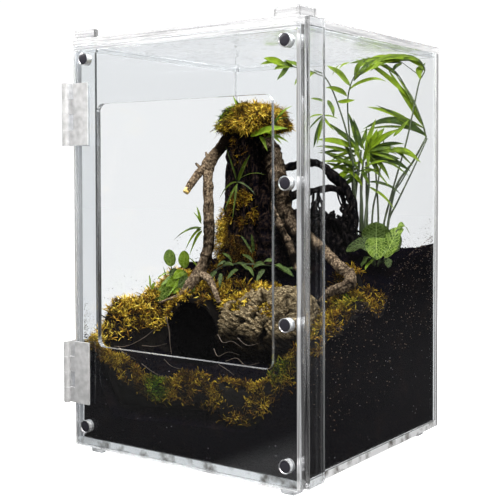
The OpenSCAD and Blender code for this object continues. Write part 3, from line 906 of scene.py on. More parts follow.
def add_lump(shape, centre, size, rng, slot=0):
    """A small crumb: a five-sided double cone with uneven corners."""
    turn = rng.uniform(0, math.pi)
    tilt = rng.uniform(-0.5, 0.5)
    ring = []
    for part in angles(5):
        a = turn + part
        r = size * rng.uniform(0.6, 1.1)
        ring.append(centre + Vector((r * math.cos(a), r * math.sin(a), r * tilt * math.cos(a))))
    top = centre + Vector((rng.uniform(-0.3, 0.3), rng.uniform(-0.3, 0.3), rng.uniform(0.4, 0.9))) * size
    low = centre - Vector((0, 0, size * 0.5))
    start = shape.add_points(ring + [top, low])
    for k in range(5):
        a = start + k
        b = start + (k + 1) % 5
        shape.add_face((a, b, start + 5), slot)
        shape.add_face((b, a, start + 6), slot)


def make_crumbs(soil, chip):
    """Loose crumbs over the soil, and sprays of them stuck to the front, right and left panes."""
    rng = random.Random(11)
    shape = Shape()

    def strew(count, smallest, largest, draw_place, slot=0):
        for _ in range(count):
            place = draw_place()
            if place:
                add_lump(shape, at(*place), rng.uniform(smallest, largest) * MM, rng, slot)

    def on_soil():
        x = rng.uniform(SOIL_X0 + 2, SOIL_X1 - 2)
        y = SOIL_Y0 + 2 + (SOIL_Y1 - SOIL_Y0 - 4) * rng.random() ** 1.3
        buried = abs(x - CAVE_X) < CAVE_R and y > TRENCH_Y0
        return None if buried else (x, y, soil_height(x, y) + 0.2)

    def on_front():
        x = SOIL_X0 + 1.2 + 34 * rng.random() ** 2.2
        return x, SOIL_Y0 + 0.3, ground(x, SOIL_Y0) + 4 + 44 * rng.random() ** 2.5

    def on_right():
        y = rng.uniform(SOIL_Y0 + 4, SOIL_Y1 - 4)
        return SOIL_X1 + 0.1, y, ground(SOIL_X1, y) + 2 + 30 * rng.random() ** 1.6

    def chips_on_right():
        y = SOIL_Y1 - 2 - (SOIL_Y1 - SOIL_Y0) * rng.random() ** 1.6
        return SOIL_X1 + 0.1, y, ground(SOIL_X1, y) + 8 - 110 * rng.random() ** 1.9

    def on_left():
        y = rng.uniform(SOIL_Y0 + 4, SOIL_Y1 - 4)
        return SOIL_X0 - 0.1, y, ground(SOIL_X0, y) + 2 + 34 * rng.random() ** 2.5

    strew(5200, 0.6, 1.9, on_soil)
    strew(260, 0.3, 1.0, on_front)
    strew(420, 0.3, 0.8, on_right)
    strew(620, 0.4, 1.2, chips_on_right, 1)
    strew(300, 0.3, 0.9, on_left)
    settle(shape.build("soil_crumbs", [soil, chip], smoothed=False), "enclosure", "soil")


# Moss: cushions of short curling strands over a mat painted near black, as the shade between them

GREEN_PATCHES = (
    # middle in box millimetres, radius
    (Vector((43, 60, 150)), 12),
    (Vector((115, 16, 77)), 20),
    (Vector((272, 24, 116)), 20),
    (Vector((88, 166, 386)), 27),
    (Vector((278, 124, 190)), 30),
    (Vector((268, 70, 140)), 14),
)


def greenness(x, y, z, rng):
    share = 0.0
    for middle, radius in GREEN_PATCHES:
        share = max(share, 1.25 - (Vector((x, y, z)) - middle).length / radius)
    return smooth(share + rng.uniform(-0.35, 0.2)) if share > 0 else 0.0


def add_strand(shape, root, heading, length, width, rng, green, glow):
    """One curling strand: a narrow ribbon, darker where it starts, as painted shade deep in the cushion. Glow
    says how bright its clump is.
    """
    steps = 4
    aside = Vector([rng.uniform(-1, 1) for _ in range(3)])
    roll = heading.cross(aside).normalized()
    curl = roll.cross(heading).normalized() * rng.uniform(-1.5, 1.5) + Vector((0, 0, -0.4))
    place = Vector(root)
    direction = Vector(heading)
    rows, shades = [], []
    tint = min(1.0, max(0.0, rng.gauss(0.35, 0.3)))
    peak = glow * rng.uniform(0.4, 1.15)
    for k in range(steps + 1):
        t = k / steps
        half = 0.5 * width * (0.5 + 1.4 * t * (1 - t)) * (1 if k < steps else 0.4)
        rows.append([place + roll * half, place - roll * half])
        # Painted shade: dark at the root, light at the tip
        shades.append([min(1.0, peak * (0.2 + 0.8 * t))] * 2)
        direction = (direction + curl * (1.2 / steps)).normalized()
        place = place + direction * (length / steps)
    shape.grid(rows, shade=shades, tint=[[tint] * 2] * len(rows), green=[[green] * 2] * len(rows))


def tilted(normal, spread, rng):
    """A direction that leans away from the normal by a random amount."""
    return (normal + scatter(rng, 1, 1, 0.6) * spread).normalized()


def cover(shape, anchors, rng, length=(4.5, 11.0), width=(0.7, 1.4), spread=1.0, dull=0.0):
    """Strands at the anchors, which are (point in box millimetres, normal), in brighter and darker clumps."""
    for (x, y, z), normal in anchors:
        green = greenness(x, y, z, rng)
        spot = Vector((x, y, z))
        clump = 0.72 + 0.95 * noise.noise(spot / 11) + 0.35 * noise.noise(spot / 4)
        glow = max(0.1, min(1.25, clump * (1 - dull)))
        shorten = 0.75 if green > 0.5 else 1.0
        add_strand(shape, at(x, y, z), tilted(normal, spread, rng), rng.uniform(*length) * MM * shorten,
                   rng.uniform(*width) * MM, rng, green, glow)


def cushion_swell(x, y, bounds, thick):
    x0, x1, y0, y1 = bounds
    edge_x = smooth(min(x - x0, x1 - x) / 12 + 0.2)
    edge_y = smooth(min(y - y0, y1 - y) / 12 + 0.2)
    return thick * math.sqrt(edge_x * edge_y)


FELT_STEP = 2.6
FELT_SINK = 2.5


def make_cushion(node, bounds, thick, base, moss, seed, density, ragged, dull, sunk=3.0, patch=26,
                 grows=None):
    """A moss cushion over the ground. Soil shows where noise falls under ragged, or where nothing grows."""
    rng = random.Random(seed)
    x0, x1, y0, y1 = bounds
    shape = Shape()

    def present(x, y, slack=0.0):
        return (grows is None or grows(x, y)) and wobble(x, y, seed * 7, patch, 2) > ragged - slack

    def height(x, y):
        lumps = 4.5 * wobble(x, y, seed, 15) + 2.2 * wobble(x, y, seed + 5, 5)
        grown = cushion_swell(x, y, bounds, thick) + lumps
        return base(x, y) + (max(0.5, grown) if present(x, y) else 0.3 + 0.2 * lumps)

    nx = round((x1 - x0) / FELT_STEP)
    ny = round((y1 - y0) / FELT_STEP)
    xs = [mix(x0, x1, i / nx) for i in range(nx + 1)]
    ys = [mix(y0, y1, j / ny) for j in range(ny + 1)]
    rows = [[at(x, y, height(x, y) - FELT_SINK) for x in xs] for y in ys]
    shape.grid(rows, **mat_in_shade(rows))
    rim = [(x, y0) for x in xs] + [(x1, y) for y in ys[1:]]
    rim += [(x, y1) for x in xs[-2::-1]] + [(x0, y) for y in ys[-2:0:-1]]
    upper = [at(x, y, height(x, y) - FELT_SINK) for x, y in rim]
    lower = [at(x, y, base(x, y) - sunk) for x, y in rim]
    shape.grid([lower, upper], closed=True, **mat_in_shade([lower, upper]))

    anchors = []
    up = Vector((0, 0, 1))
    for _ in range(round((x1 - x0) * (y1 - y0) * density)):
        x = rng.uniform(x0, x1)
        y = rng.uniform(y0, y1)
        if present(x, y, 0.3 if rng.random() < 0.08 else 0.0):
            anchors.append(((x, y, height(x, y) - rng.uniform(0.5, 4.0)), up))
    cover(shape, anchors, rng, dull=dull)
    front = []
    for _ in range(round((x1 - x0) * thick * density * 2.2)):
        x = rng.uniform(x0, x1)
        if not present(x, y0 + 2):
            continue
        low = base(x, y0) - sunk * 0.5
        low += 9 * max(0.0, wobble(x, 0, seed, 14))
        low -= 7 * max(0.0, wobble(x, 5, seed, 19))
        z = mix(low, height(x, y0), rng.random())
        front.append(((x, y0 + 0.5, z), Vector((0, -0.2, 0.35)).normalized()))
    cover(shape, front, rng, length=(4.0, 9.0), spread=1.2, dull=dull)
    keep_inside(shape)
    plant(shape, f"{node}_piece", [moss], "moss", node)


def keep_inside(shape, margin=0.35):
    """Presses points that poke out back against the inner faces of the panes."""
    low = at(INNER_L + margin, WALL_Y + margin, PLATE)
    high = at(INNER_R - margin, INNER_B - margin, LID_Z - margin)
    for i, p in enumerate(shape.points):
        if any(p[k] < low[k] or p[k] > high[k] for k in range(3)):
            shape.points[i] = Vector([min(max(p[k], low[k]), high[k]) for k in range(3)])


BAND_TOP = (
    # x and z of the front band's crest behind the pane, in box millimetres
    (14, 122), (36, 111), (53, 109), (68, 105), (83, 95), (109, 91), (137, 89), (150, 99), (178, 102),
    (191, 92), (205, 99), (246, 97), (261, 106), (267, 121), (281, 128), (292, 139))
BAND_LOW = (
    # and of its lower rim
    (14, 112), (38, 98), (51, 91), (66, 77), (87, 66), (118, 60), (135, 67), (182, 64), (197, 65),
    (203, 53), (234, 54), (251, 58), (263, 77), (281, 92), (292, 100))
BAND_DEPTH = 26
BAND_GAPS = (
    # bare places in the band: middle x and z in box millimetres, radius
    (224, 82, 17), (204, 66, 9), (150, 76, 7), (76, 88, 8), (180, 74, 7), (262, 92, 8), (124, 84, 7),
)


def between(points, x):
    """The height of a line of points at x."""
    for (x0, z0), (x1, z1) in zip(points, points[1:]):
        if x <= x1:
            return mix(z0, z1, max(0.0, (x - x0) / (x1 - x0)))
    return points[-1][1]


def make_front_moss(moss):
    """The band against the front pane: a wandering roll of moss, thin at the left, with tufts and gaps."""
    rng = random.Random(3)
    shape = Shape()
    y0 = SOIL_Y0

    def crest(x):
        return between(BAND_TOP, x) + 3 * wobble(x, 3, 0, 12) - 3

    def rim(x):
        return between(BAND_LOW, x) + 3 * wobble(x, 9, 0, 10)

    def bare(x, z):
        return any(math.hypot(x - gx, z - gz) < r * rng.uniform(0.6, 1.2) for gx, gz, r in BAND_GAPS)

    def roll(x, t):
        """From the crest at the pane back down to the soil."""
        back = ground(x, y0 + BAND_DEPTH)
        return mix(crest(x), min(back, crest(x)), smooth(t)) + 1.5 * wobble(x, 30 * t, 5, 8)

    rows = []
    for i in range(113):
        x = mix(12, 293, i / 112)
        low = rim(x) + 2
        top = max(crest(x) - 2, low + 2)
        back = min(ground(x, y0 + BAND_DEPTH), top)
        section = ((0.6, low), (0.4, mix(low, top, 0.35)), (0.5, mix(low, top, 0.7)), (3, top),
                   (9, mix(top, back, 0.2)), (17, mix(top, back, 0.65)), (BAND_DEPTH, back - 0.5),
                   (BAND_DEPTH, back - 4), (12, min(low, back) - 4))
        rows.append([at(x, y0 + behind, z) for behind, z in section])
    shape.tube(rows, flip=True, **mat_in_shade(rows))
    front, top = [], []
    for _ in range(6400):
        x = rng.uniform(14, 292)
        t = rng.random() ** 0.8
        z = mix(rim(x) - 1, crest(x) + 1, t)
        if wobble(x, z, 21, 15, 2) < -0.3 + 0.35 * smooth((0.3 - t) / 0.3) or bare(x, z):
            continue
        front.append(((x, y0 + 0.6, z), Vector((0, -0.2, 0.4)).normalized()))
    for _ in range(4600):
        x = rng.uniform(14, 292)
        t = rng.random() ** 1.5
        if wobble(x, 40 * t, 33, 14, 2) > -0.3:
            top.append(((x, y0 + 1 + 21 * t, roll(x, t) - 1), Vector((0, -0.1, 1)).normalized()))
    cover(shape, front, rng, length=(4.0, 9.5), spread=1.25, dull=0.3)
    cover(shape, top, rng, length=(4.0, 9.0), spread=1.0, dull=0.25)
    keep_inside(shape)
    plant(shape, "moss_front_piece", [moss], "moss", "moss_front")


def mat_in_shade(rows, shade=0.0):
    """The attributes of the mat under the strands, painted near black as the shade between them."""
    plain = [[0.0] * len(row) for row in rows]
    return {"shade": [[shade] * len(row) for row in rows], "tint": plain, "green": plain}


def above_the_bowl(x, y):
    """The left moss stops where the soil falls away into the bowl."""
    return ground(x, y) > 104 + 0.45 * (x - 20) + 5 * wobble(x, y, 50, 9)


def make_moss(moss):
    left = (SOIL_X0 + 0.5, CAVE_X - CAVE_R - 3, SOIL_Y0 + 12, 165)
    right = (240, SOIL_X1 - 0.5, SOIL_Y0 + 32, 190)
    cave_top = (CAVE_X - 37, CAVE_X + 39, CAVE_Y + 3, CAVE_Y + 98)
    make_front_moss(moss)
    make_cushion("moss_left", left, 13, ground, moss, 4, 0.9, ragged=-0.6, grows=above_the_bowl, dull=-0.3)
    make_cushion("moss_right", right, 14, ground, moss, 5, 0.6, ragged=-0.2, dull=0.22)
    make_cushion("moss_cave_top", cave_top, 7, cave_cover, moss, 6, 0.5, ragged=-0.1, sunk=6, patch=18,
                 dull=0.1)
    make_moss_cap(moss)
    make_stump_moss(moss)
    make_mound_moss(moss)


def cave_cover(x, y):
    """The bank that buries the back of the cork tube."""
    return max(tube_top(x), min(ground(x, y), tube_top(CAVE_X) + 22 * smooth((y - CAVE_Y) / 80)))


STUMP_TOP = Vector((112, 190, 362))
CAP_MIDDLE = STUMP_TOP + Vector((8, -4, 10))
CAP_SIZE = Vector((41, 34, 19))


def make_moss_cap(moss):
    """The cap on the stump: a flattened mop whose strands hang over its rim."""
    rng = random.Random(8)
    shape = Shape()

    def surface(a, b):
        swell = 1 + 0.3 * noise.noise(Vector((2.2 * math.cos(a), 2.2 * math.sin(a), 1.6 * b + 3)))
        ring = math.cos(b) * swell
        return CAP_MIDDLE + Vector((CAP_SIZE.x * ring * math.cos(a), CAP_SIZE.y * ring * math.sin(a),
                                    CAP_SIZE.z * swell * signed_power(math.sin(b), 0.8)))

    rows = [[at(*surface(a, b)) for a in angles(40)] for b in climb(18, 88)]
    shape.tube(rows, **mat_in_shade(rows, 0.08))
    anchors = []
    for _ in range(11000):
        a = rng.uniform(0, 2 * math.pi)
        b = math.asin(rng.uniform(-0.75, 1.0))
        p = surface(a, b)
        out = Vector((math.cos(a) * math.cos(b), math.sin(a) * math.cos(b), math.sin(b) * 1.2)).normalized()
        anchors.append(((p.x - out.x, p.y - out.y, p.z - out.z), out))
    cover(shape, anchors, rng, length=(3.5, 8.5), width=(0.6, 1.1), spread=1.3)
    cover(shape, rng.sample(anchors, 500), rng, length=(9, 14), width=(0.5, 0.9), spread=0.9)
    keep_inside(shape, 1.0)
    plant(shape, "moss_stump_cap_piece", [moss], "moss", "moss_stump_cap")


STUMP_PLACES = (
    # height, middle x and y, radius
    (160, 112, 200, 38), (205, 110, 194, 35), (245, 108, 191, 30), (290, 108, 190, 28), (330, 110, 190, 27),
    (362, 112, 190, 28),
)


def stump_axis(z):
    """Middle and radius of the stump at a height, in box millimetres."""
    for low, high in zip(STUMP_PLACES, STUMP_PLACES[1:]):
        if z <= high[0] or high is STUMP_PLACES[-1]:
            t = max(0.0, min(1.0, (z - low[0]) / (high[0] - low[0])))
            return [mix(low[i], high[i], smooth(t)) for i in (1, 2, 3)]


def stump_radius(a, z):
    """Deep furrows that run up the bark, and knots."""
    r = stump_axis(z)[2]
    furrow = abs(noise.noise(Vector((6 * math.cos(a), 6 * math.sin(a), z / 60))))
    rough = wobble(20 * math.cos(a), 20 * math.sin(a), z, 9)
    flare = 1 + 0.16 * noise.noise(Vector((2 * math.cos(a), 2 * math.sin(a), z / 45 + 7)))
    return r * flare * (0.9 + 0.2 * furrow) + 1.6 * rough, furrow


BUTTRESS = [(126, 194, 318), (138, 194, 276), (146, 194, 238), (152, 192, 196)]


def make_stump(bark):
    shape = Shape()
    sides = 96
    rows, depths = [], []
    for k in range(104):
        z = mix(160, 364, k / 103)
        x, y, _ = stump_axis(z)
        row, depth = [], []
        for a in angles(sides):
            r, furrow = stump_radius(a, z)
            row.append(at(x + r * math.cos(a), y + r * math.sin(a), z))
            # Painted shade, dark in the deepest furrows
            depth.append(max(0.0, 1 - furrow * 5))
        rows.append(row)
        depths.append(depth)
    start = shape.grid(rows, closed=True, depth=depths)
    shape.cap(start + sides * (len(rows) - 1), sides)
    add_limb(shape, BUTTRESS, [6, 16, 24, 30], 16, rough=0.3)
    plant(shape, "cork_stump_piece", [bark], "dark_bark", "cork_stump")


STUMP_MOSS = (
    # middle angle in degrees and height, half width in degrees, half height, strands, how dull
    (222, 238, 34, 30, 4200, -0.35),
    (214, 214, 30, 14, 1200, 0.0),
    (262, 268, 10, 8, 420, 0.1),
    (278, 276, 14, 9, 700, 0.15),
    (302, 280, 16, 9, 700, 0.2),
    (254, 254, 10, 8, 420, 0.2),
    (290, 250, 12, 8, 320, 0.35),
    (318, 258, 12, 10, 320, 0.35),
    (268, 222, 26, 18, 700, 0.6),
    (300, 210, 40, 16, 900, 0.6),
    (262, 348, 9, 8, 120, 0.3),
    (280, 330, 30, 22, 160, 0.6),
)


def make_stump_moss(moss):
    """Moss that hangs on the stump's left flank and in tufts across its front."""
    rng = random.Random(9)
    shape = Shape()
    for turn, height, wide, tall, count, dull in STUMP_MOSS:
        anchors = []
        for _ in range(count):
            z = height + tall * rng.uniform(-1, 1)
            a = math.radians(turn + wide * rng.uniform(-1, 1))
            off = math.hypot((math.degrees(a) - turn) / wide, (z - height) / tall)
            if off > 0.75 + 0.5 * noise.noise(Vector((4 * math.cos(a), 4 * math.sin(a), z / 14))):
                continue
            x, y, _ = stump_axis(z)
            bulge = 7 * smooth((270 - z) / 25) * smooth((z - 196) / 20) * smooth((math.cos(a) + 0.2) / -0.5)
            r = stump_radius(a, z)[0] + rng.uniform(-1, 3 + bulge)
            anchors.append(((x + r * math.cos(a), y + r * math.sin(a), z), compass(a, 0.1)))
        cover(shape, anchors, rng, length=(3.5, 8.0), width=(0.5, 1.0), spread=1.2, dull=dull)
    plant(shape, "stump_side_moss", [moss], "moss")


def make_mound_moss(moss):
    """Tufts that creep over the left and the back of the cork mound."""
    rng = random.Random(12)
    shape = Shape()
    anchors = []
    for _ in range(6500):
        a = math.radians(rng.uniform(60, 300))
        b = math.radians(rng.uniform(30, 89))
        place, _ = mound_point(a, b)
        behind = smooth((place.y - 96) / 14) * smooth((190 - place.x) / 16)
        if noise.noise(place / 15) < 0.2 - 0.75 * behind:
            continue
        out = (place - MOUND_MIDDLE).normalized()
        anchors.append(((place.x, place.y, place.z), (out + Vector((0, 0, 0.5))).normalized()))
    cover(shape, anchors, rng, length=(4.0, 8.0), spread=1.2)
    plant(shape, "mound_moss", [moss], "moss")


# Cork: a hollow tube for the hide, and a layered mound beside it

def make_cave(bark):
    """The cork tube: furrowed outside, torn at its mouth, painted black within and round its mouth as shade.
    """
    shape = Shape()
    rows, depths = [], []
    stations = [(-1, 0.0)] + [(0, k / 14) for k in range(15)] + [(1, k / 44) for k in range(45)]
    for layer, t in stations:
        row, depth = [], []
        for a in angles(120):
            turn = compass(a)
            torn = 7 * noise.noise(turn * 2.2 + Vector((0, 0, 3)))
            torn += 4 * noise.noise(turn * 8 + Vector((0, 0, 5)))
            if layer < 0:
                r, y = 0.5, CAVE_Y + CAVE_LEN - 14
            elif layer == 0:
                r = CAVE_R - CAVE_WALL + 2.5 * noise.noise(turn * 3 + Vector((0, 0, t * 6)))
                y = mix(CAVE_Y + CAVE_LEN - 12, CAVE_Y + 4 + torn, t)
            else:
                furrow = abs(noise.noise(turn * 5 + Vector((0, 0, t * 5))))
                r = CAVE_R - 3.5 + 5 * furrow + 1.2 * noise.noise(turn * 14 + Vector((0, 0, t * 30)))
                r -= 4.0 * (1 - smooth(t * 10))
                y = mix(CAVE_Y + 3 + torn, CAVE_Y + CAVE_LEN, t)
            row.append(at(CAVE_X + r * math.cos(a), y, CAVE_Z + r * math.sin(a)))
            # Painted shade: black inside the tube and round its mouth, the outside darkened less
            depth.append(1.0 if layer <= 0 or t < 0.12 else 0.4)
        rows.append(row)
        depths.append(depth)
    shape.grid(rows, closed=True, depth=depths)
    plant(shape, "cork_cave_tube_piece", [bark], "dark_bark", "cork_cave_tube")


MOUND_MIDDLE = Vector((184, 123, 130))
MOUND_SIZE = Vector((61, 44, 47))
MOUND_HOLLOWS = (
    # pits eaten into the front, middle in box millimetres and radius
    (Vector((197, 92, 172)), 8),
    (Vector((222, 94, 152)), 6),
)


def mound_point(a, b):
    """Flaky cork, cracked along arched layers, with pits eaten into it. Returns the point and its shadow."""
    out = Vector((math.cos(b) * math.cos(a), math.cos(b) * math.sin(a), math.sin(b)))
    ring = math.cos(b) ** (0.55 if b > 0 else 0.8)
    turn = Vector((signed_power(math.cos(a), 0.8), signed_power(math.sin(a), 0.8), 0))
    base = Vector((turn.x * ring * MOUND_SIZE.x, turn.y * ring * MOUND_SIZE.y,
                   MOUND_SIZE.z * 0.92 * signed_power(out.z, 0.9)))
    place = MOUND_MIDDLE + base
    undercut = 1 - 0.24 * smooth((126 - place.z) / 34)
    shelf = 9 * smooth((place.x - 160) / 20) * smooth((place.z - 145) / 25)
    base = Vector((base.x * undercut, base.y * undercut, base.z + shelf))
    place = MOUND_MIDDLE + base
    lumps = noise.noise(place / 26)
    aside = place.x - 150
    lean = 0.1 * aside + 0.006 * aside * aside + 6 * noise.noise(place / 30) + 2 * noise.noise(place / 8)
    level = (place.z + lean) / 6.5
    step = level - math.floor(level)
    cracked = smooth(0.7 + 2 * noise.noise(place / 12 + Vector((9, 0, 0))))
    crack = max(0.0, 1 - min(step, 1 - step) * 4.5) * cracked
    hole = smooth((noise.noise(place / 11 + Vector((4, 0, 0))) - 0.34) / 0.12)
    for middle, radius in MOUND_HOLLOWS:
        hole = max(hole, smooth(1.5 - (place - middle).length / radius))
    ridge = abs(noise.noise(Vector((place.x / 13, place.y / 13, (place.z + lean) / 5.0))))
    fine = abs(noise.noise(Vector((place.x / 5, place.y / 5, (place.z + lean) / 2.2))))
    crust = noise.noise(place / 2.2)
    size = 0.95 + 0.09 * lumps - 0.06 * crack - 0.22 * hole + 0.05 * ridge + 0.03 * fine + 0.018 * crust
    # Darker towards the bottom: painted shade under the overhang, and damp
    damp = smooth((148 - place.z - 10 * lumps) / 20)
    # The shadow is painted shade: in cracks, pits, between ridges and fine layers, and low down
    shadow = min(0.985, max(hole, crack, 0.975 * damp, 0.6 - 4 * ridge, 0.75 - 6 * fine))
    return MOUND_MIDDLE + base * size, shadow


def make_mound(bark):
    shape = Shape()
    rows, depths = [], []
    for b in climb(150, 86):
        found = [mound_point(a, b) for a in angles(230)]
        rows.append([at(*place) for place, _ in found])
        depths.append([shadow for _, shadow in found])
    shape.tube(rows, depth=depths)
    plant(shape, "cork_mound_piece", [bark], "bark", "cork_mound")


# Branches

def add_limb(shape, points, radii, seed, rough=0.16, steps=12, sides=22, rings=0.0, soot=None):
    """A branch: a sweep with a lumpy, cracked skin and faint ring marks. Painted shade darkens it by the
    given amounts, most underneath.
    """
    path = curve_points(points, steps)
    sizes = curve_values(radii, steps)
    darkness = curve_values(soot or [0.0] * len(points), steps)
    rows, depths = [], []
    travelled = 0.0
    last = path[0]
    for (place, across, over), radius, dark in zip(frames_along(path), sizes, darkness):
        travelled += (place - last).length
        last = place
        mark = max(0.0, math.sin(travelled * rings)) ** 14
        row, depth = [], []
        for a in angles(sides):
            out = across * math.cos(a) + over * math.sin(a)
            spot = place + out * radius
            knot = wobble(spot.x + seed, spot.y, spot.z, 13)
            grain = noise.noise(Vector((out.x * 3.5, out.y * 3.5, travelled / 16 + seed)))
            crease = 1 - smooth((abs(grain) - 0.008) / 0.06)
            scales = noise.noise(spot / 2.6)
            r = radius * (1 + rough * knot + 0.06 * mark - 0.1 * crease + 0.07 * scales)
            row.append(at(*(place + out * r)))
            # Painted shade: the amount given along the limb, more underneath and less on top, with creases
            # and hollows darker
            painted_shade = dark * (1.15 - 0.9 * max(0.0, out.z) + 0.8 * knot)
            depth.append(min(1.0, max(0.0, 0.6 * crease + 0.3 * max(0.0, -scales) + 0.5 * mark + painted_shade)))
        rows.append(row)
        depths.append(depth)
    shape.tube(rows, depth=depths)


def limb(points, radii, seed, **traits):
    """One row of a table of branches, for add_limb."""
    return dict(traits, points=points, radii=radii, seed=seed)


LEFT_BRANCH = (
    limb([(108, 176, 362), (98, 165, 352), (91, 156, 338), (83, 144, 319), (86, 139, 302), (91, 134, 270),
          (96, 128, 236), (98, 121, 212), (93, 112, 191), (82, 104, 173), (75, 98, 160), (76, 94, 146)],
         [7.5, 7, 6.6, 8, 6.0, 6.4, 6.2, 7.2, 7.4, 5.8, 4.0, 2.4], 1, rings=0.3,
         soot=[1.5, 1.4, 0.9, 0.1, 0.0, 0.15, 0.8, 0.9, 0.1, 0.0, 0.5, 1.0]),
    limb([(86, 146, 318), (79, 135, 311), (74, 126, 299), (71, 118, 288)],
         [6.2, 5.6, 4.6, 3.7], 2, rings=0.4),
    limb([(90, 113, 190), (102, 110, 189), (112, 108, 185), (122, 104, 176), (133, 99, 161)],
         [4.6, 4.6, 4.2, 3.4, 2.2], 3, rings=0.3),
    limb([(78, 101, 166), (66, 96, 162), (51, 90, 156)], [2.8, 2.0, 1.0], 15, sides=10),
    limb([(88, 140, 322), (84, 140, 330), (83, 139, 334)], [3.2, 2.0, 1.0], 4, steps=4, sides=8),
    limb([(80, 134, 314), (75, 132, 319), (74, 131, 321)], [2.4, 1.6, 0.9], 5, steps=4, sides=8),
    limb([(98, 128, 234), (105, 122, 241), (107, 119, 245)], [2.6, 1.7, 0.9], 6, steps=4, sides=8),
)
RIGHT_BRANCH = (
    limb([(128, 188, 346), (143, 184, 340), (153, 181, 327), (160, 177, 309), (167, 173, 290),
          (175, 169, 271), (192, 163, 243), (219, 158, 227), (238, 155, 218), (254, 152, 206),
          (269, 149, 198)],
         [8, 11, 12, 12, 12, 10.5, 8.5, 7, 6.2, 6.2, 6.4], 7, rough=0.28, rings=0.3,
         soot=[1.0, 1.0, 0.8, 0.65, 0.8, 0.95, 0.95, 0.8, 0.35, 0.2, 0.35]),
    limb([(267, 151, 200), (274, 146, 191), (270, 139, 184), (258, 129, 179), (246, 118, 166)],
         [6.6, 6.4, 6.2, 5.4, 3.0], 8, rough=0.24, rings=0.45, soot=[0.3, 0.3, 0.35, 0.6, 0.8]),
    limb([(160, 172, 282), (166, 162, 266), (176, 160, 251), (189, 156, 234), (201, 148, 218),
          (212, 140, 200)],
         [5.0, 5.4, 5.6, 5.2, 4.6, 3.0], 9, rough=0.2, rings=0.3, soot=[1.0, 0.95, 0.9, 0.95, 1.0, 1.1]),
)
REAR_ARCH = (
    limb([(128, 200, 304), (156, 208, 315), (181, 215, 321), (199, 219, 312), (216, 222, 298),
          (227, 226, 282), (231, 228, 262), (229, 226, 236), (224, 224, 200)],
         [6, 4.5, 4.2, 5, 6, 5.5, 4.5, 5, 8], 10, rough=0.5),
    limb([(126, 202, 266), (158, 210, 280), (182, 215, 287), (204, 218, 290), (222, 222, 288)],
         [6, 5, 4, 4, 5], 11, rough=0.5),
    limb([(196, 220, 314), (206, 224, 300), (222, 226, 288)], [4, 3.5, 4], 12, rough=0.5),
)
CUT_STUB = (limb([(71.4, 119.4, 289.8), (70.2, 116.2, 285.4)], [3.9, 3.4], 14, steps=3, sides=14),)


def grow(name, limbs, material, slot, *nodes):
    """One piece of the habitat from a table of branches."""
    shape = Shape()
    for traits in limbs:
        add_limb(shape, **traits)
    plant(shape, name, [material], slot, *nodes)


def make_branches(bark, black_root, cut_wood):
    grow("branch_left_piece", LEFT_BRANCH, bark, "bark", "branch_left")
    grow("branch_right_piece", RIGHT_BRANCH, bark, "bark", "branch_right")
    grow("driftwood_rear_piece", REAR_ARCH, black_root, "dark_bark", "driftwood_rear")
    make_tangle(black_root)
    grow("branch_stub_cut", CUT_STUB, cut_wood, "bark")


ROOT_BUNDLES = (
    # where bundles of black roots start and end in box millimetres, how many, and how far they spread
    ((184, 218, 262), (196, 218, 204), 34, 12),
    ((204, 222, 256), (212, 220, 204), 30, 11),
    ((222, 225, 254), (222, 222, 204), 22, 8),
    ((170, 212, 262), (176, 208, 204), 20, 9),
    ((140, 200, 300), (168, 206, 206), 14, 9),
    ((150, 206, 270), (180, 210, 206), 14, 10),
    ((228, 226, 282), (226, 224, 240), 9, 5),
    ((184, 216, 288), (190, 218, 244), 6, 6),
    ((214, 222, 292), (226, 225, 250), 6, 4),
)
ROOT_SWELL = (0.7, 1, 0.8, 1.1, 0.8, 0.5)


def make_tangle(bark):
    """Fine black roots that hang in bundles between the stump, the arch behind it and the soil."""
    rng = random.Random(17)
    shape = Shape()
    seed = 40
    for start, end, count, spread in ROOT_BUNDLES:
        for _ in range(count):
            a = Vector(start) + scatter(rng, 0.5, 0.5, 0.4) * spread
            b = Vector(end) + Vector((rng.gauss(0, 0.8), rng.gauss(0, 0.8), 0)) * spread
            bends = [a.lerp(b, k / 5) + scatter(rng, 0.6, 0.6, 0.45) * spread for k in range(1, 5)]
            thick = rng.uniform(0.7, 2.6)
            seed += 1
            add_limb(shape, [a] + bends + [b], [thick * share for share in ROOT_SWELL], seed, rough=0.7,
                     steps=5, sides=6)
    keep_inside(shape, 1.0)
    plant(shape, "root_tangle", [bark], "dark_bark")


ROOTS = (
    # points in box millimetres, thickness at the start
    ([(9, 30, 112), (22, 40, 109), (40, 46, 110), (60, 54, 121), (76, 62, 136)], 1.2),
    ([(30, 42, 109), (46, 36, 105), (58, 32, 103), (70, 30, 100)], 0.9),
    ([(60, 50, 112), (76, 54, 112), (90, 58, 116)], 0.8),
    ([(70, 80, 142), (73, 82, 126), (76, 80, 112), (80, 78, 100)], 1.6),
    ([(86, 60, 98), (104, 52, 93), (126, 48, 92)], 0.7),
    ([(70, 40, 94), (92, 36, 87), (104, 38, 84), (128, 40, 84)], 0.7),
    ([(144, 82, 128), (156, 76, 121), (170, 74, 124), (184, 74, 118)], 1.0),
    ([(140, 80, 112), (152, 72, 106), (166, 72, 112), (180, 74, 110)], 0.9),
    ([(158, 78, 100), (176, 74, 106), (190, 72, 100), (206, 74, 104)], 0.9),
    ([(150, 78, 96), (168, 72, 92), (182, 72, 84)], 0.8),
    ([(176, 76, 128), (192, 72, 122), (208, 74, 126)], 0.9),
)


def make_roots(root_skin):
    shape = Shape()
    for i, (points, thick) in enumerate(ROOTS):
        count = len(points)
        radii = [0.5 * thick * (1 - 0.75 * k / (count - 1)) for k in range(count)]
        add_limb(shape, points, radii, 20 + i, rough=0.3, steps=6, sides=7)
    plant(shape, "roots", [root_skin], "bark")


# Leaves

LIGHT_SIDE = Vector((0.5, -0.62, 0.6)).normalized()


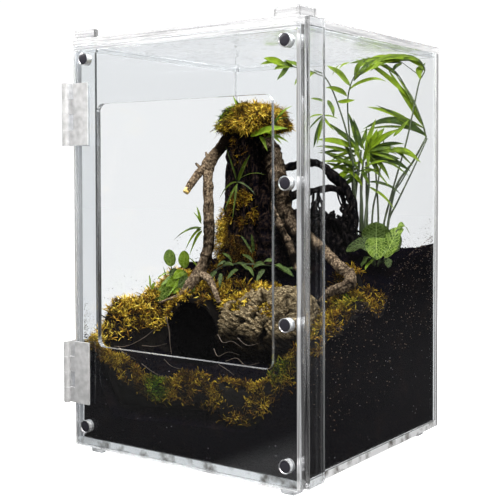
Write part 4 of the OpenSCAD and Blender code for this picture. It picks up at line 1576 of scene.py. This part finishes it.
def add_leaf(shape, base, tip, width, arch, rng, fold, full, steps, ribs, sway=0.0, spin=0.5, blunt=0.0,
             slot=0):
    """A blade between two points in box millimetres, its face turned to the light. It arches and sways."""
    base = Vector(base)
    tip = Vector(tip)
    along = tip - base
    across = along.cross(LIGHT_SIDE).normalized()
    across = Matrix.Rotation(rng.uniform(-spin, spin), 3, along.normalized()) @ across
    over = across.cross(along).normalized()
    if over.dot(LIGHT_SIDE) < 0:
        over = -over
    tint = rng.uniform(-0.3, 0.3)
    rows, tints = [], []
    for i in range(steps + 1):
        t = i / steps
        spine = base + along * t + Vector((0, 0, arch * 4 * t * (1 - t))) + across * sway * 4 * t * (1 - t)
        pointed = max(0.03, math.sin(math.pi * min(1.0, t ** full * 0.97 + 0.03)) ** 0.8)
        rounded = math.sqrt(max(0.002, 1 - (2 * t - 1) ** 2)) * (1.06 - 0.12 * t)
        half = 0.5 * width * mix(pointed, rounded, blunt)
        ripple = 0.06 * width * math.sin(9 * t + 40 * tint)
        row = []
        for j in range(-ribs, ribs + 1):
            s = j / ribs
            row.append(at(*(spine + across * half * s + over * (half * fold * abs(s) + ripple * s * s))))
        rows.append(row)
        tints.append([tint] * len(row))
    shape.grid(rows, uv=True, slot=slot, tint=tints)


def add_stalk(shape, points, thick, end, sides=7, steps=8):
    """A smooth round stem through the points."""
    path = curve_points(points, steps)
    rows = []
    for i, (place, across, over) in enumerate(frames_along(path)):
        r = mix(thick, end, i / (len(path) - 1))
        rows.append([at(*(place + (across * math.cos(a) + over * math.sin(a)) * r)) for a in angles(sides)])
    shape.tube(rows)


PALM_STALKS = (
    # points in box millimetres, thickness at the foot and at the end
    ([(252, 263, 215), (262, 272, 288), (279, 287, 323), (290, 298, 351)], 1.7, 1.1),
    ([(290, 298, 351), (286, 296, 369), (278, 292, 391), (261, 283, 426), (248, 274, 440)], 1.1, 0.6),
    ([(246, 256, 215), (262, 266, 288), (274, 280, 350), (282, 290, 407), (285, 291, 420)], 1.3, 0.8),
    ([(285, 291, 420), (291, 292, 432), (286, 288, 444)], 0.8, 0.5),
    ([(284, 290, 426), (267, 280, 441)], 0.6, 0.4),
    ([(222, 247, 215), (220, 243, 299), (220, 237, 347), (221, 230, 390), (229, 223, 412), (238, 221, 426)],
     1.4, 0.6),
    ([(230, 239, 215), (226, 238, 290), (223, 235, 335), (214, 222, 386), (203, 211, 420), (190, 200, 430)],
     1.4, 0.7),
    ([(203, 211, 420), (192, 200, 426), (176, 190, 434), (160, 178, 438)], 0.7, 0.5),
    ([(222, 240, 210), (223, 240, 257), (223, 242, 281), (228, 243, 311), (231, 245, 336)], 2.8, 1.4),
    ([(232, 245, 210), (232, 245, 263), (231, 245, 293), (234, 246, 328)], 2.4, 1.2),
    ([(216, 248, 210), (215, 250, 245), (217, 250, 269), (223, 246, 300), (229, 244, 320)], 1.9, 1.2),
    ([(239, 240, 210), (239, 240, 246), (239, 244, 269), (241, 246, 299), (238, 246, 330)], 2.0, 1.0),
    ([(241, 250, 210), (244, 250, 263), (248, 252, 287), (252, 256, 323), (255, 258, 353)], 1.4, 0.7),
    ([(253, 262, 210), (253, 262, 249), (261, 266, 281), (271, 272, 299), (287, 282, 333), (294, 289, 349)],
     1.2, 0.7),
    ([(255, 268, 210), (255, 268, 248), (265, 274, 275), (279, 284, 311), (292, 297, 350)], 1.4, 0.8),
    ([(226, 252, 210), (228, 250, 270), (232, 246, 310)], 2.0, 1.2),
    ([(234, 252, 210), (236, 250, 262), (236, 248, 322)], 2.2, 1.2),
    ([(246, 258, 210), (248, 256, 262), (244, 254, 332)], 1.6, 0.9),
    ([(220, 256, 210), (216, 254, 252), (226, 248, 316)], 1.8, 1.0),
)

PALM_LEAVES = (
    # base, tip, width, arch: the young bright frond at the top left
    ((229, 222, 411), (207, 206, 435), 8.5, 3),
    ((226, 223, 405), (268, 238, 415), 6.5, 7),
    ((224, 223, 399), (203, 210, 409), 7.0, 2),
    ((235, 222, 421), (250, 218, 442), 8.0, -1),
    ((236, 222, 419), (265, 238, 438), 7.5, 2),
    ((234, 222, 416), (258, 234, 442), 6.0, 2),
    ((212, 222, 393), (231, 230, 395), 4.5, 1),
    ((201, 218, 395), (212, 214, 375), 7.0, 1),
    ((220, 212, 431), (232, 216, 438), 3.5, 1),
    ((210, 214, 424), (222, 208, 434), 3.5, 1),
    # the leaves that reach over the stump, seen through the front
    ((184, 196, 430), (168, 184, 441), 9.0, 2),
    ((176, 190, 434), (158, 176, 430), 8.0, 3),
    ((168, 184, 436), (149, 168, 444), 7.0, 2),
    ((172, 188, 435), (160, 180, 418), 6.5, 1),
    ((192, 202, 427), (178, 190, 412), 8.0, 2),
    ((160, 178, 438), (146, 166, 436), 5.0, 1),
    # the tall arching frond at the right
    ((278, 292, 391), (218, 254, 446), 6.0, 9),
    ((261, 283, 425), (219, 257, 449), 4.0, 3),
    ((261, 283, 425), (228, 262, 449), 4.0, 2),
    ((288, 296, 362), (258, 280, 428), 6.5, 5),
    ((286, 296, 366), (250, 276, 434), 5.0, 4),
    # the frond that bends under the lid
    ((291, 292, 430), (270, 274, 444), 9.0, 4),
    ((288, 290, 440), (252, 262, 443), 10.0, 4),
    ((284, 288, 443), (238, 252, 438), 9.0, 6),
    ((267, 280, 441), (218, 240, 440), 6.0, 4),
    ((276, 284, 443), (240, 250, 430), 8.0, 6),
    ((285, 290, 424), (291, 293, 440), 5.0, 1),
    ((267, 280, 440), (258, 270, 428), 5.0, 1),
    ((284, 290, 436), (288, 286, 420), 6.0, 1),
    ((262, 276, 443), (228, 244, 434), 7.5, 5),
    # blades from the node at the right wall
    ((290, 298, 352), (234, 254, 388), 8.0, 5),
    ((289, 298, 361), (241, 262, 390), 3.5, 1),
    ((291, 298, 352), (233, 246, 361), 8.0, 13),
    ((291, 298, 352), (229, 244, 356), 4.5, 9),
    # the fan in the middle, to the left, up and to the right
    ((227, 245, 338), (216, 240, 381), 5.0, 0),
    ((231, 243, 335), (193, 232, 369), 6.0, 2),
    ((224, 243, 339), (179, 225, 349), 7.0, 4),
    ((224, 243, 328), (179, 222, 340), 6.0, 3),
    ((221, 243, 323), (178, 226, 333), 5.0, 3),
    ((231, 245, 340), (236, 250, 363), 5.0, 0),
    ((237, 246, 337), (250, 250, 361), 5.5, 0),
    ((237, 248, 336), (256, 256, 362), 9.0, 0),
    ((239, 248, 336), (275, 262, 361), 6.5, 3),
    ((239, 248, 333), (276, 268, 343), 5.5, 3),
    ((241, 248, 331), (283, 272, 310), 6.5, 5),
    ((261, 262, 336), (292, 280, 321), 7.5, 5),
    ((256, 260, 338), (284, 276, 316), 5.0, 4),
    ((243, 250, 328), (274, 262, 325), 6.5, 3),
    ((240, 246, 297), (274, 266, 282), 6.0, 4),
    ((240, 246, 292), (267, 262, 265), 5.0, 3),
    ((230, 244, 303), (258, 240, 313), 5.5, 2),
    ((225, 243, 311), (181, 228, 336), 5.5, 4),
    ((228, 243, 305), (191, 230, 321), 5.0, 3),
    ((226, 242, 314), (209, 238, 345), 5.0, 2),
    ((233, 244, 317), (221, 236, 347), 5.5, 1),
    ((234, 246, 323), (248, 240, 349), 6.0, 1),
    ((231, 242, 313), (207, 226, 326), 5.5, 3),
    ((233, 244, 293), (220, 232, 311), 4.5, 2),
    ((243, 250, 323), (286, 262, 304), 5.5, 5),
    ((226, 244, 330), (196, 230, 310), 5.5, 3),
    ((229, 244, 322), (206, 234, 296), 5.0, 3),
    ((238, 248, 332), (262, 258, 300), 5.5, 3),
    ((240, 248, 330), (250, 262, 302), 5.0, 2),
    ((262, 268, 352), (276, 280, 372), 4.0, 1),
    ((226, 243, 318), (184, 226, 322), 5.0, 3),
    ((228, 243, 314), (196, 232, 298), 5.0, 3),
    ((230, 244, 308), (204, 234, 286), 4.5, 3),
    ((227, 243, 316), (188, 228, 308), 5.0, 3),
    ((236, 248, 316), (262, 262, 290), 5.0, 3),
    ((238, 248, 322), (272, 266, 314), 5.0, 4),
    ((232, 245, 338), (221, 244, 374), 5.0, 0),
    ((236, 246, 336), (247, 252, 373), 5.0, 0),
    ((229, 244, 334), (203, 236, 356), 5.0, 2),
    ((240, 248, 330), (286, 272, 330), 5.0, 4),
    # the fine frond that hangs between the column and the strip
    ((204, 196, 374), (194, 192, 338), 4.5, -1),
    ((204, 196, 374), (200, 190, 342), 3.0, -1),
    ((205, 197, 375), (210, 194, 346), 2.5, -1),
    ((205, 197, 376), (186, 188, 370), 2.5, 2),
    ((205, 197, 376), (188, 190, 358), 2.5, 1),
    ((206, 198, 376), (222, 206, 372), 2.5, 2),
    ((206, 198, 376), (218, 204, 358), 2.5, 1),
    ((188, 196, 396), (206, 204, 388), 4.0, 1),
)
PALM_WIDTH = 1.2
LEAF_TOP = 440
PALM_SPRAYS = (
    # node in box millimetres, leaflets, and the directions they may take in degrees from the box's x axis
    ((228, 244, 334), 5, 150, 300),
    ((234, 246, 336), 6, 20, 170),
    ((240, 248, 334), 5, 280, 400),
    ((232, 245, 312), 4, 190, 350),
    ((246, 252, 330), 4, 30, 130),
)


def make_palm(stem, frond):
    rng = random.Random(21)
    shape = Shape()
    for points, thick, end in PALM_STALKS:
        add_stalk(shape, points, thick, end)
    plant(shape, "palm_stems_piece", [stem], "palm_stem", "palm_stems")
    shape = Shape()
    blade = {"rng": rng, "fold": 0.35, "full": 0.8, "steps": 12, "ribs": 2}
    for base, tip, width, arch in PALM_LEAVES:
        add_leaf(shape, base, tip, width * PALM_WIDTH, arch, sway=rng.uniform(-2, 2), **blade)
    for node, count, low, high in PALM_SPRAYS:
        for _ in range(count):
            a = math.radians(rng.uniform(low, high))
            out = compass(a, rng.uniform(-0.6, 0.9)).normalized()
            tip = Vector(node) + out * rng.uniform(30, 52)
            tip.z = min(tip.z, LEAF_TOP)
            width = rng.uniform(3.4, 5.6)
            add_leaf(shape, node, tip, width, rng.uniform(0, 4), sway=rng.uniform(-3, 3), **blade)
    keep_inside(shape, 1.0)
    plant(shape, "palm_fronds_piece", [frond], "palm_leaf", "palm_fronds")


FITTONIA_LEFT_LEAVES = (
    # base, tip, width, arch, slot
    ((36, 130, 195), (34, 128, 216), 15, 1, 0),
    ((56, 130, 194), (61, 126, 216), 14, 1, 0),
    ((60, 132, 188), (42, 124, 178), 12, 3, 0),
    ((58, 128, 190), (48, 120, 182), 10, 2, 0),
    ((52, 130, 182), (36, 120, 168), 12, 3, 0),
    ((46, 130, 180), (26, 122, 172), 11, 3, 0),
    ((38, 128, 171), (16, 120, 155), 11, 3, 0),
    ((60, 128, 180), (50, 118, 164), 11, 3, 0),
    ((44, 126, 170), (30, 114, 154), 11, 3, 0),
    ((54, 126, 174), (42, 116, 160), 10, 2, 0),
    ((34, 124, 162), (22, 114, 148), 9, 2, 0),
    ((62, 130, 184), (56, 120, 170), 10, 2, 1),
    ((48, 132, 188), (34, 128, 186), 9, 2, 1),
    ((66, 128, 162), (79, 122, 176), 11, 2, 0),
    ((30, 134, 186), (14, 130, 178), 10, 2, 0),
    # the sprig beside it
    ((11, 120, 158), (15, 120, 172), 4, 1, 0),
    ((12, 120, 164), (20, 118, 176), 4, 1, 0),
    ((12, 120, 168), (10, 120, 184), 4, 0, 0),
    ((11, 120, 162), (8, 116, 172), 4, 1, 0),
)
FITTONIA_RIGHT_LEAVES = (
    ((266, 217, 225), (268, 215, 252), 33, 1, 1),
    ((264, 206, 226), (235, 203, 217), 18, 4, 1),
    ((274, 203, 235), (278, 197, 210), 26, 3, 0),
    ((281, 212, 211), (292, 231, 246), 20, 5, 0),
    ((289, 226, 244), (294, 246, 238), 9, 7, 0),
    ((284, 224, 216), (280, 238, 240), 18, 2, 1),
    ((264, 206, 212), (257, 200, 201), 13, 2, 1),
    ((270, 206, 209), (264, 196, 198), 10, 2, 0),
    ((286, 208, 212), (289, 203, 201), 10, 1, 1),
    ((258, 222, 216), (240, 226, 228), 16, 2, 1),
)


def make_fittonia(veined, shaded, stem):
    rng = random.Random(31)
    for node, leaves, foot in (("fittonia_left", FITTONIA_LEFT_LEAVES, (34, 142, 158)),
                               ("fittonia_right", FITTONIA_RIGHT_LEAVES, (264, 218, 196))):
        shape = Shape()
        stalks = Shape()
        for base, tip, width, arch, slot in leaves:
            spin = 0.3 if width > 14 else 1.0
            add_leaf(shape, base, tip, width, arch, rng, fold=0.2, full=0.82, steps=16, ribs=7, spin=spin,
                     blunt=0.75, slot=slot)
            middle = (Vector(foot) + Vector(base)) / 2 + Vector((0, 0, 2))
            add_stalk(stalks, [foot, middle, base], 0.9, 0.6, 6, 5)
        keep_inside(shape, 1.0)
        plant(shape, f"{node}_piece", [veined, shaded], "fittonia_leaf", node)
        plant(stalks, f"{node}_stalks", [stem], "palm_stem")


GRASS_LEFT = (
    ((80, 134, 243), (37, 135, 227), 3.4, 5),
    ((80, 134, 242), (54, 135, 215), 3.0, 5),
    ((81, 134, 240), (62, 134, 210), 4.0, 4),
    ((80, 134, 244), (66, 136, 232), 3.0, 2),
    ((79, 134, 250), (72, 135, 269), 3.4, 1),
    ((80, 134, 248), (68, 134, 262), 2.6, 1),
    ((64, 150, 190), (50, 146, 206), 2.6, 2),
    ((20, 144, 168), (8, 148, 192), 2.6, 1),
)
GRASS_STUMP = (
    ((116, 156, 300), (112, 140, 340), 2.4, 1),
    ((118, 156, 298), (146, 142, 330), 5.0, 2),
    ((118, 156, 300), (162, 150, 306), 2.4, 5),
    ((117, 156, 298), (98, 146, 278), 2.2, 6),
    ((118, 154, 298), (156, 140, 282), 2.2, 4),
    ((118, 156, 296), (108, 142, 262), 2.8, 3),
    ((118, 154, 296), (122, 140, 256), 2.8, 2),
    ((120, 156, 300), (134, 146, 316), 2.4, 4),
    # the fern on the moss cap
    ((104, 182, 378), (94, 178, 404), 4.0, 1),
    ((106, 182, 380), (100, 176, 398), 3.0, 2),
    ((134, 160, 352), (188, 160, 360), 10.0, 3),
    ((160, 166, 358), (191, 165, 386), 4.5, 5),
    ((158, 166, 356), (180, 165, 378), 3.5, 4),
    ((150, 164, 356), (178, 162, 342), 8.0, 3),
    ((152, 164, 350), (186, 164, 344), 6.0, 4),
    ((146, 162, 352), (158, 160, 334), 5.0, 2),
    ((160, 166, 364), (188, 164, 372), 4.0, 3),
)
RUNNER_WIDTH = 0.6
RUNNER = (
    # a creeping stem under the stump with small veined leaves in the shade
    ((94, 144, 194), (116, 136, 204), 9, 3),
    ((104, 142, 198), (128, 134, 200), 11, 3),
    ((98, 140, 192), (92, 130, 178), 9, 2),
    ((106, 138, 190), (112, 128, 174), 8, 2),
    ((124, 142, 202), (148, 134, 196), 13, 4),
    ((136, 142, 200), (158, 132, 190), 12, 3),
    ((150, 142, 198), (172, 134, 204), 11, 3),
    ((160, 142, 202), (184, 136, 208), 14, 3),
    ((176, 142, 202), (200, 134, 200), 12, 3),
    ((186, 142, 200), (210, 138, 192), 11, 3),
    ((150, 144, 204), (140, 134, 214), 8, 2),
    ((118, 144, 204), (110, 136, 214), 8, 2),
    ((198, 144, 200), (222, 140, 196), 11, 3),
    ((130, 140, 196), (122, 128, 184), 9, 2),
    ((168, 140, 198), (164, 128, 184), 9, 2),
    ((146, 146, 214), (136, 136, 236), 7, 2),
    ((148, 146, 216), (152, 136, 238), 6, 2),
)
RUNNER_STEM = ((84, 150, 188), (106, 144, 198), (134, 143, 202), (168, 143, 202), (200, 145, 200),
               (216, 152, 196))


def make_grasses(frond, dusky, rng):
    for node, blades in (("grass_left", GRASS_LEFT), ("grass_stump", GRASS_STUMP)):
        shape = Shape()
        for base, tip, width, arch in blades:
            # Blades low on the stump take the darker copy of the leaf, painted shade
            slot = 1 if 258 < base[2] < 340 else 0
            add_leaf(shape, base, tip, width, arch, rng, fold=0.4, full=0.6, steps=10, ribs=2, slot=slot)
        keep_inside(shape, 1.0)
        plant(shape, f"{node}_piece", [frond, dusky], "palm_leaf", node)


def make_runner(shaded, stem, rng):
    leaves = Shape()
    for base, tip, width, arch in RUNNER:
        add_leaf(leaves, base, tip, width * RUNNER_WIDTH, arch, rng, fold=0.2, full=0.72, steps=10, ribs=5,
                 blunt=0.4)
    plant(leaves, "runner_leaves", [shaded], "fittonia_leaf")
    creeper = Shape()
    add_stalk(creeper, RUNNER_STEM, 1.0, 0.7)
    plant(creeper, "runner_stem", [stem], "palm_stem")


def make_habitat():
    soil = soil_material()
    chip = plain_finish("bark_chip", (0.06, 0.036, 0.022), 0.9, grain=500, depth=0.5)
    moss = moss_material("dried_moss")
    dark_bark = bark_material("dark_bark", (0.001, 0.001, 0.0022), (0.0035, 0.0026, 0.0036),
                              (0.03, 0.019, 0.014), 260, 1.0)
    bark = bark_material("pale_bark", (0.04, 0.027, 0.018), (0.125, 0.087, 0.056),
                         (0.32, 0.24, 0.16), 420, 1.0)
    cork = bark_material("layered_cork", (0.05, 0.034, 0.017), (0.15, 0.108, 0.058),
                         (0.42, 0.33, 0.2), 260, 1.0, (1, 1, 3))
    black_root = bark_material("black_root", (0.0006, 0.0006, 0.001), (0.002, 0.0018, 0.0024),
                               (0.016, 0.013, 0.012), 200, 0.8)
    cut_wood = plain_finish("cut_wood", (0.55, 0.38, 0.12), 0.7, grain=300)
    root_skin = plain_finish("root_skin", (0.05, 0.033, 0.021), 0.7, grain=300, depth=0.5)
    stem = plain_finish("green_stem", (0.024, 0.036, 0.01), 0.55, grain=120)
    frond = leaf_material("palm_leaf", (0.022, 0.045, 0.002), (0.2, 0.3, 0.006),
                          (0.01, 0.024, 0.001), 0.5)
    veined = leaf_material("veined_leaf", (0.02, 0.055, 0.002), (0.16, 0.26, 0.004), (0.36, 0.46, 0.1),
                           0.5, 8, 0.13, 0.3)
    # A darker copy of the veined leaf, painted shade for leaves that lie in the shade
    shaded = leaf_material("shaded_leaf", (0.006, 0.014, 0.001), (0.025, 0.05, 0.002), (0.13, 0.18, 0.05),
                           0.55, 8, 0.15, 0.4)
    # A darker copy of the palm leaf, painted shade
    dusky = leaf_material("dusky_leaf", (0.008, 0.016, 0.001), (0.08, 0.12, 0.004),
                          (0.005, 0.011, 0.001), 0.5)
    make_substrate(soil)
    make_crumbs(soil, chip)
    make_moss(moss)
    make_stump(dark_bark)
    make_cave(dark_bark)
    make_mound(cork)
    make_branches(bark, black_root, cut_wood)
    make_roots(root_skin)
    make_palm(stem, frond)
    make_fittonia(veined, shaded, stem)
    rng = random.Random(41)
    make_grasses(frond, dusky, rng)
    make_runner(shaded, stem, rng)


make_camera()
make_studio()
make_shell()
make_habitat()
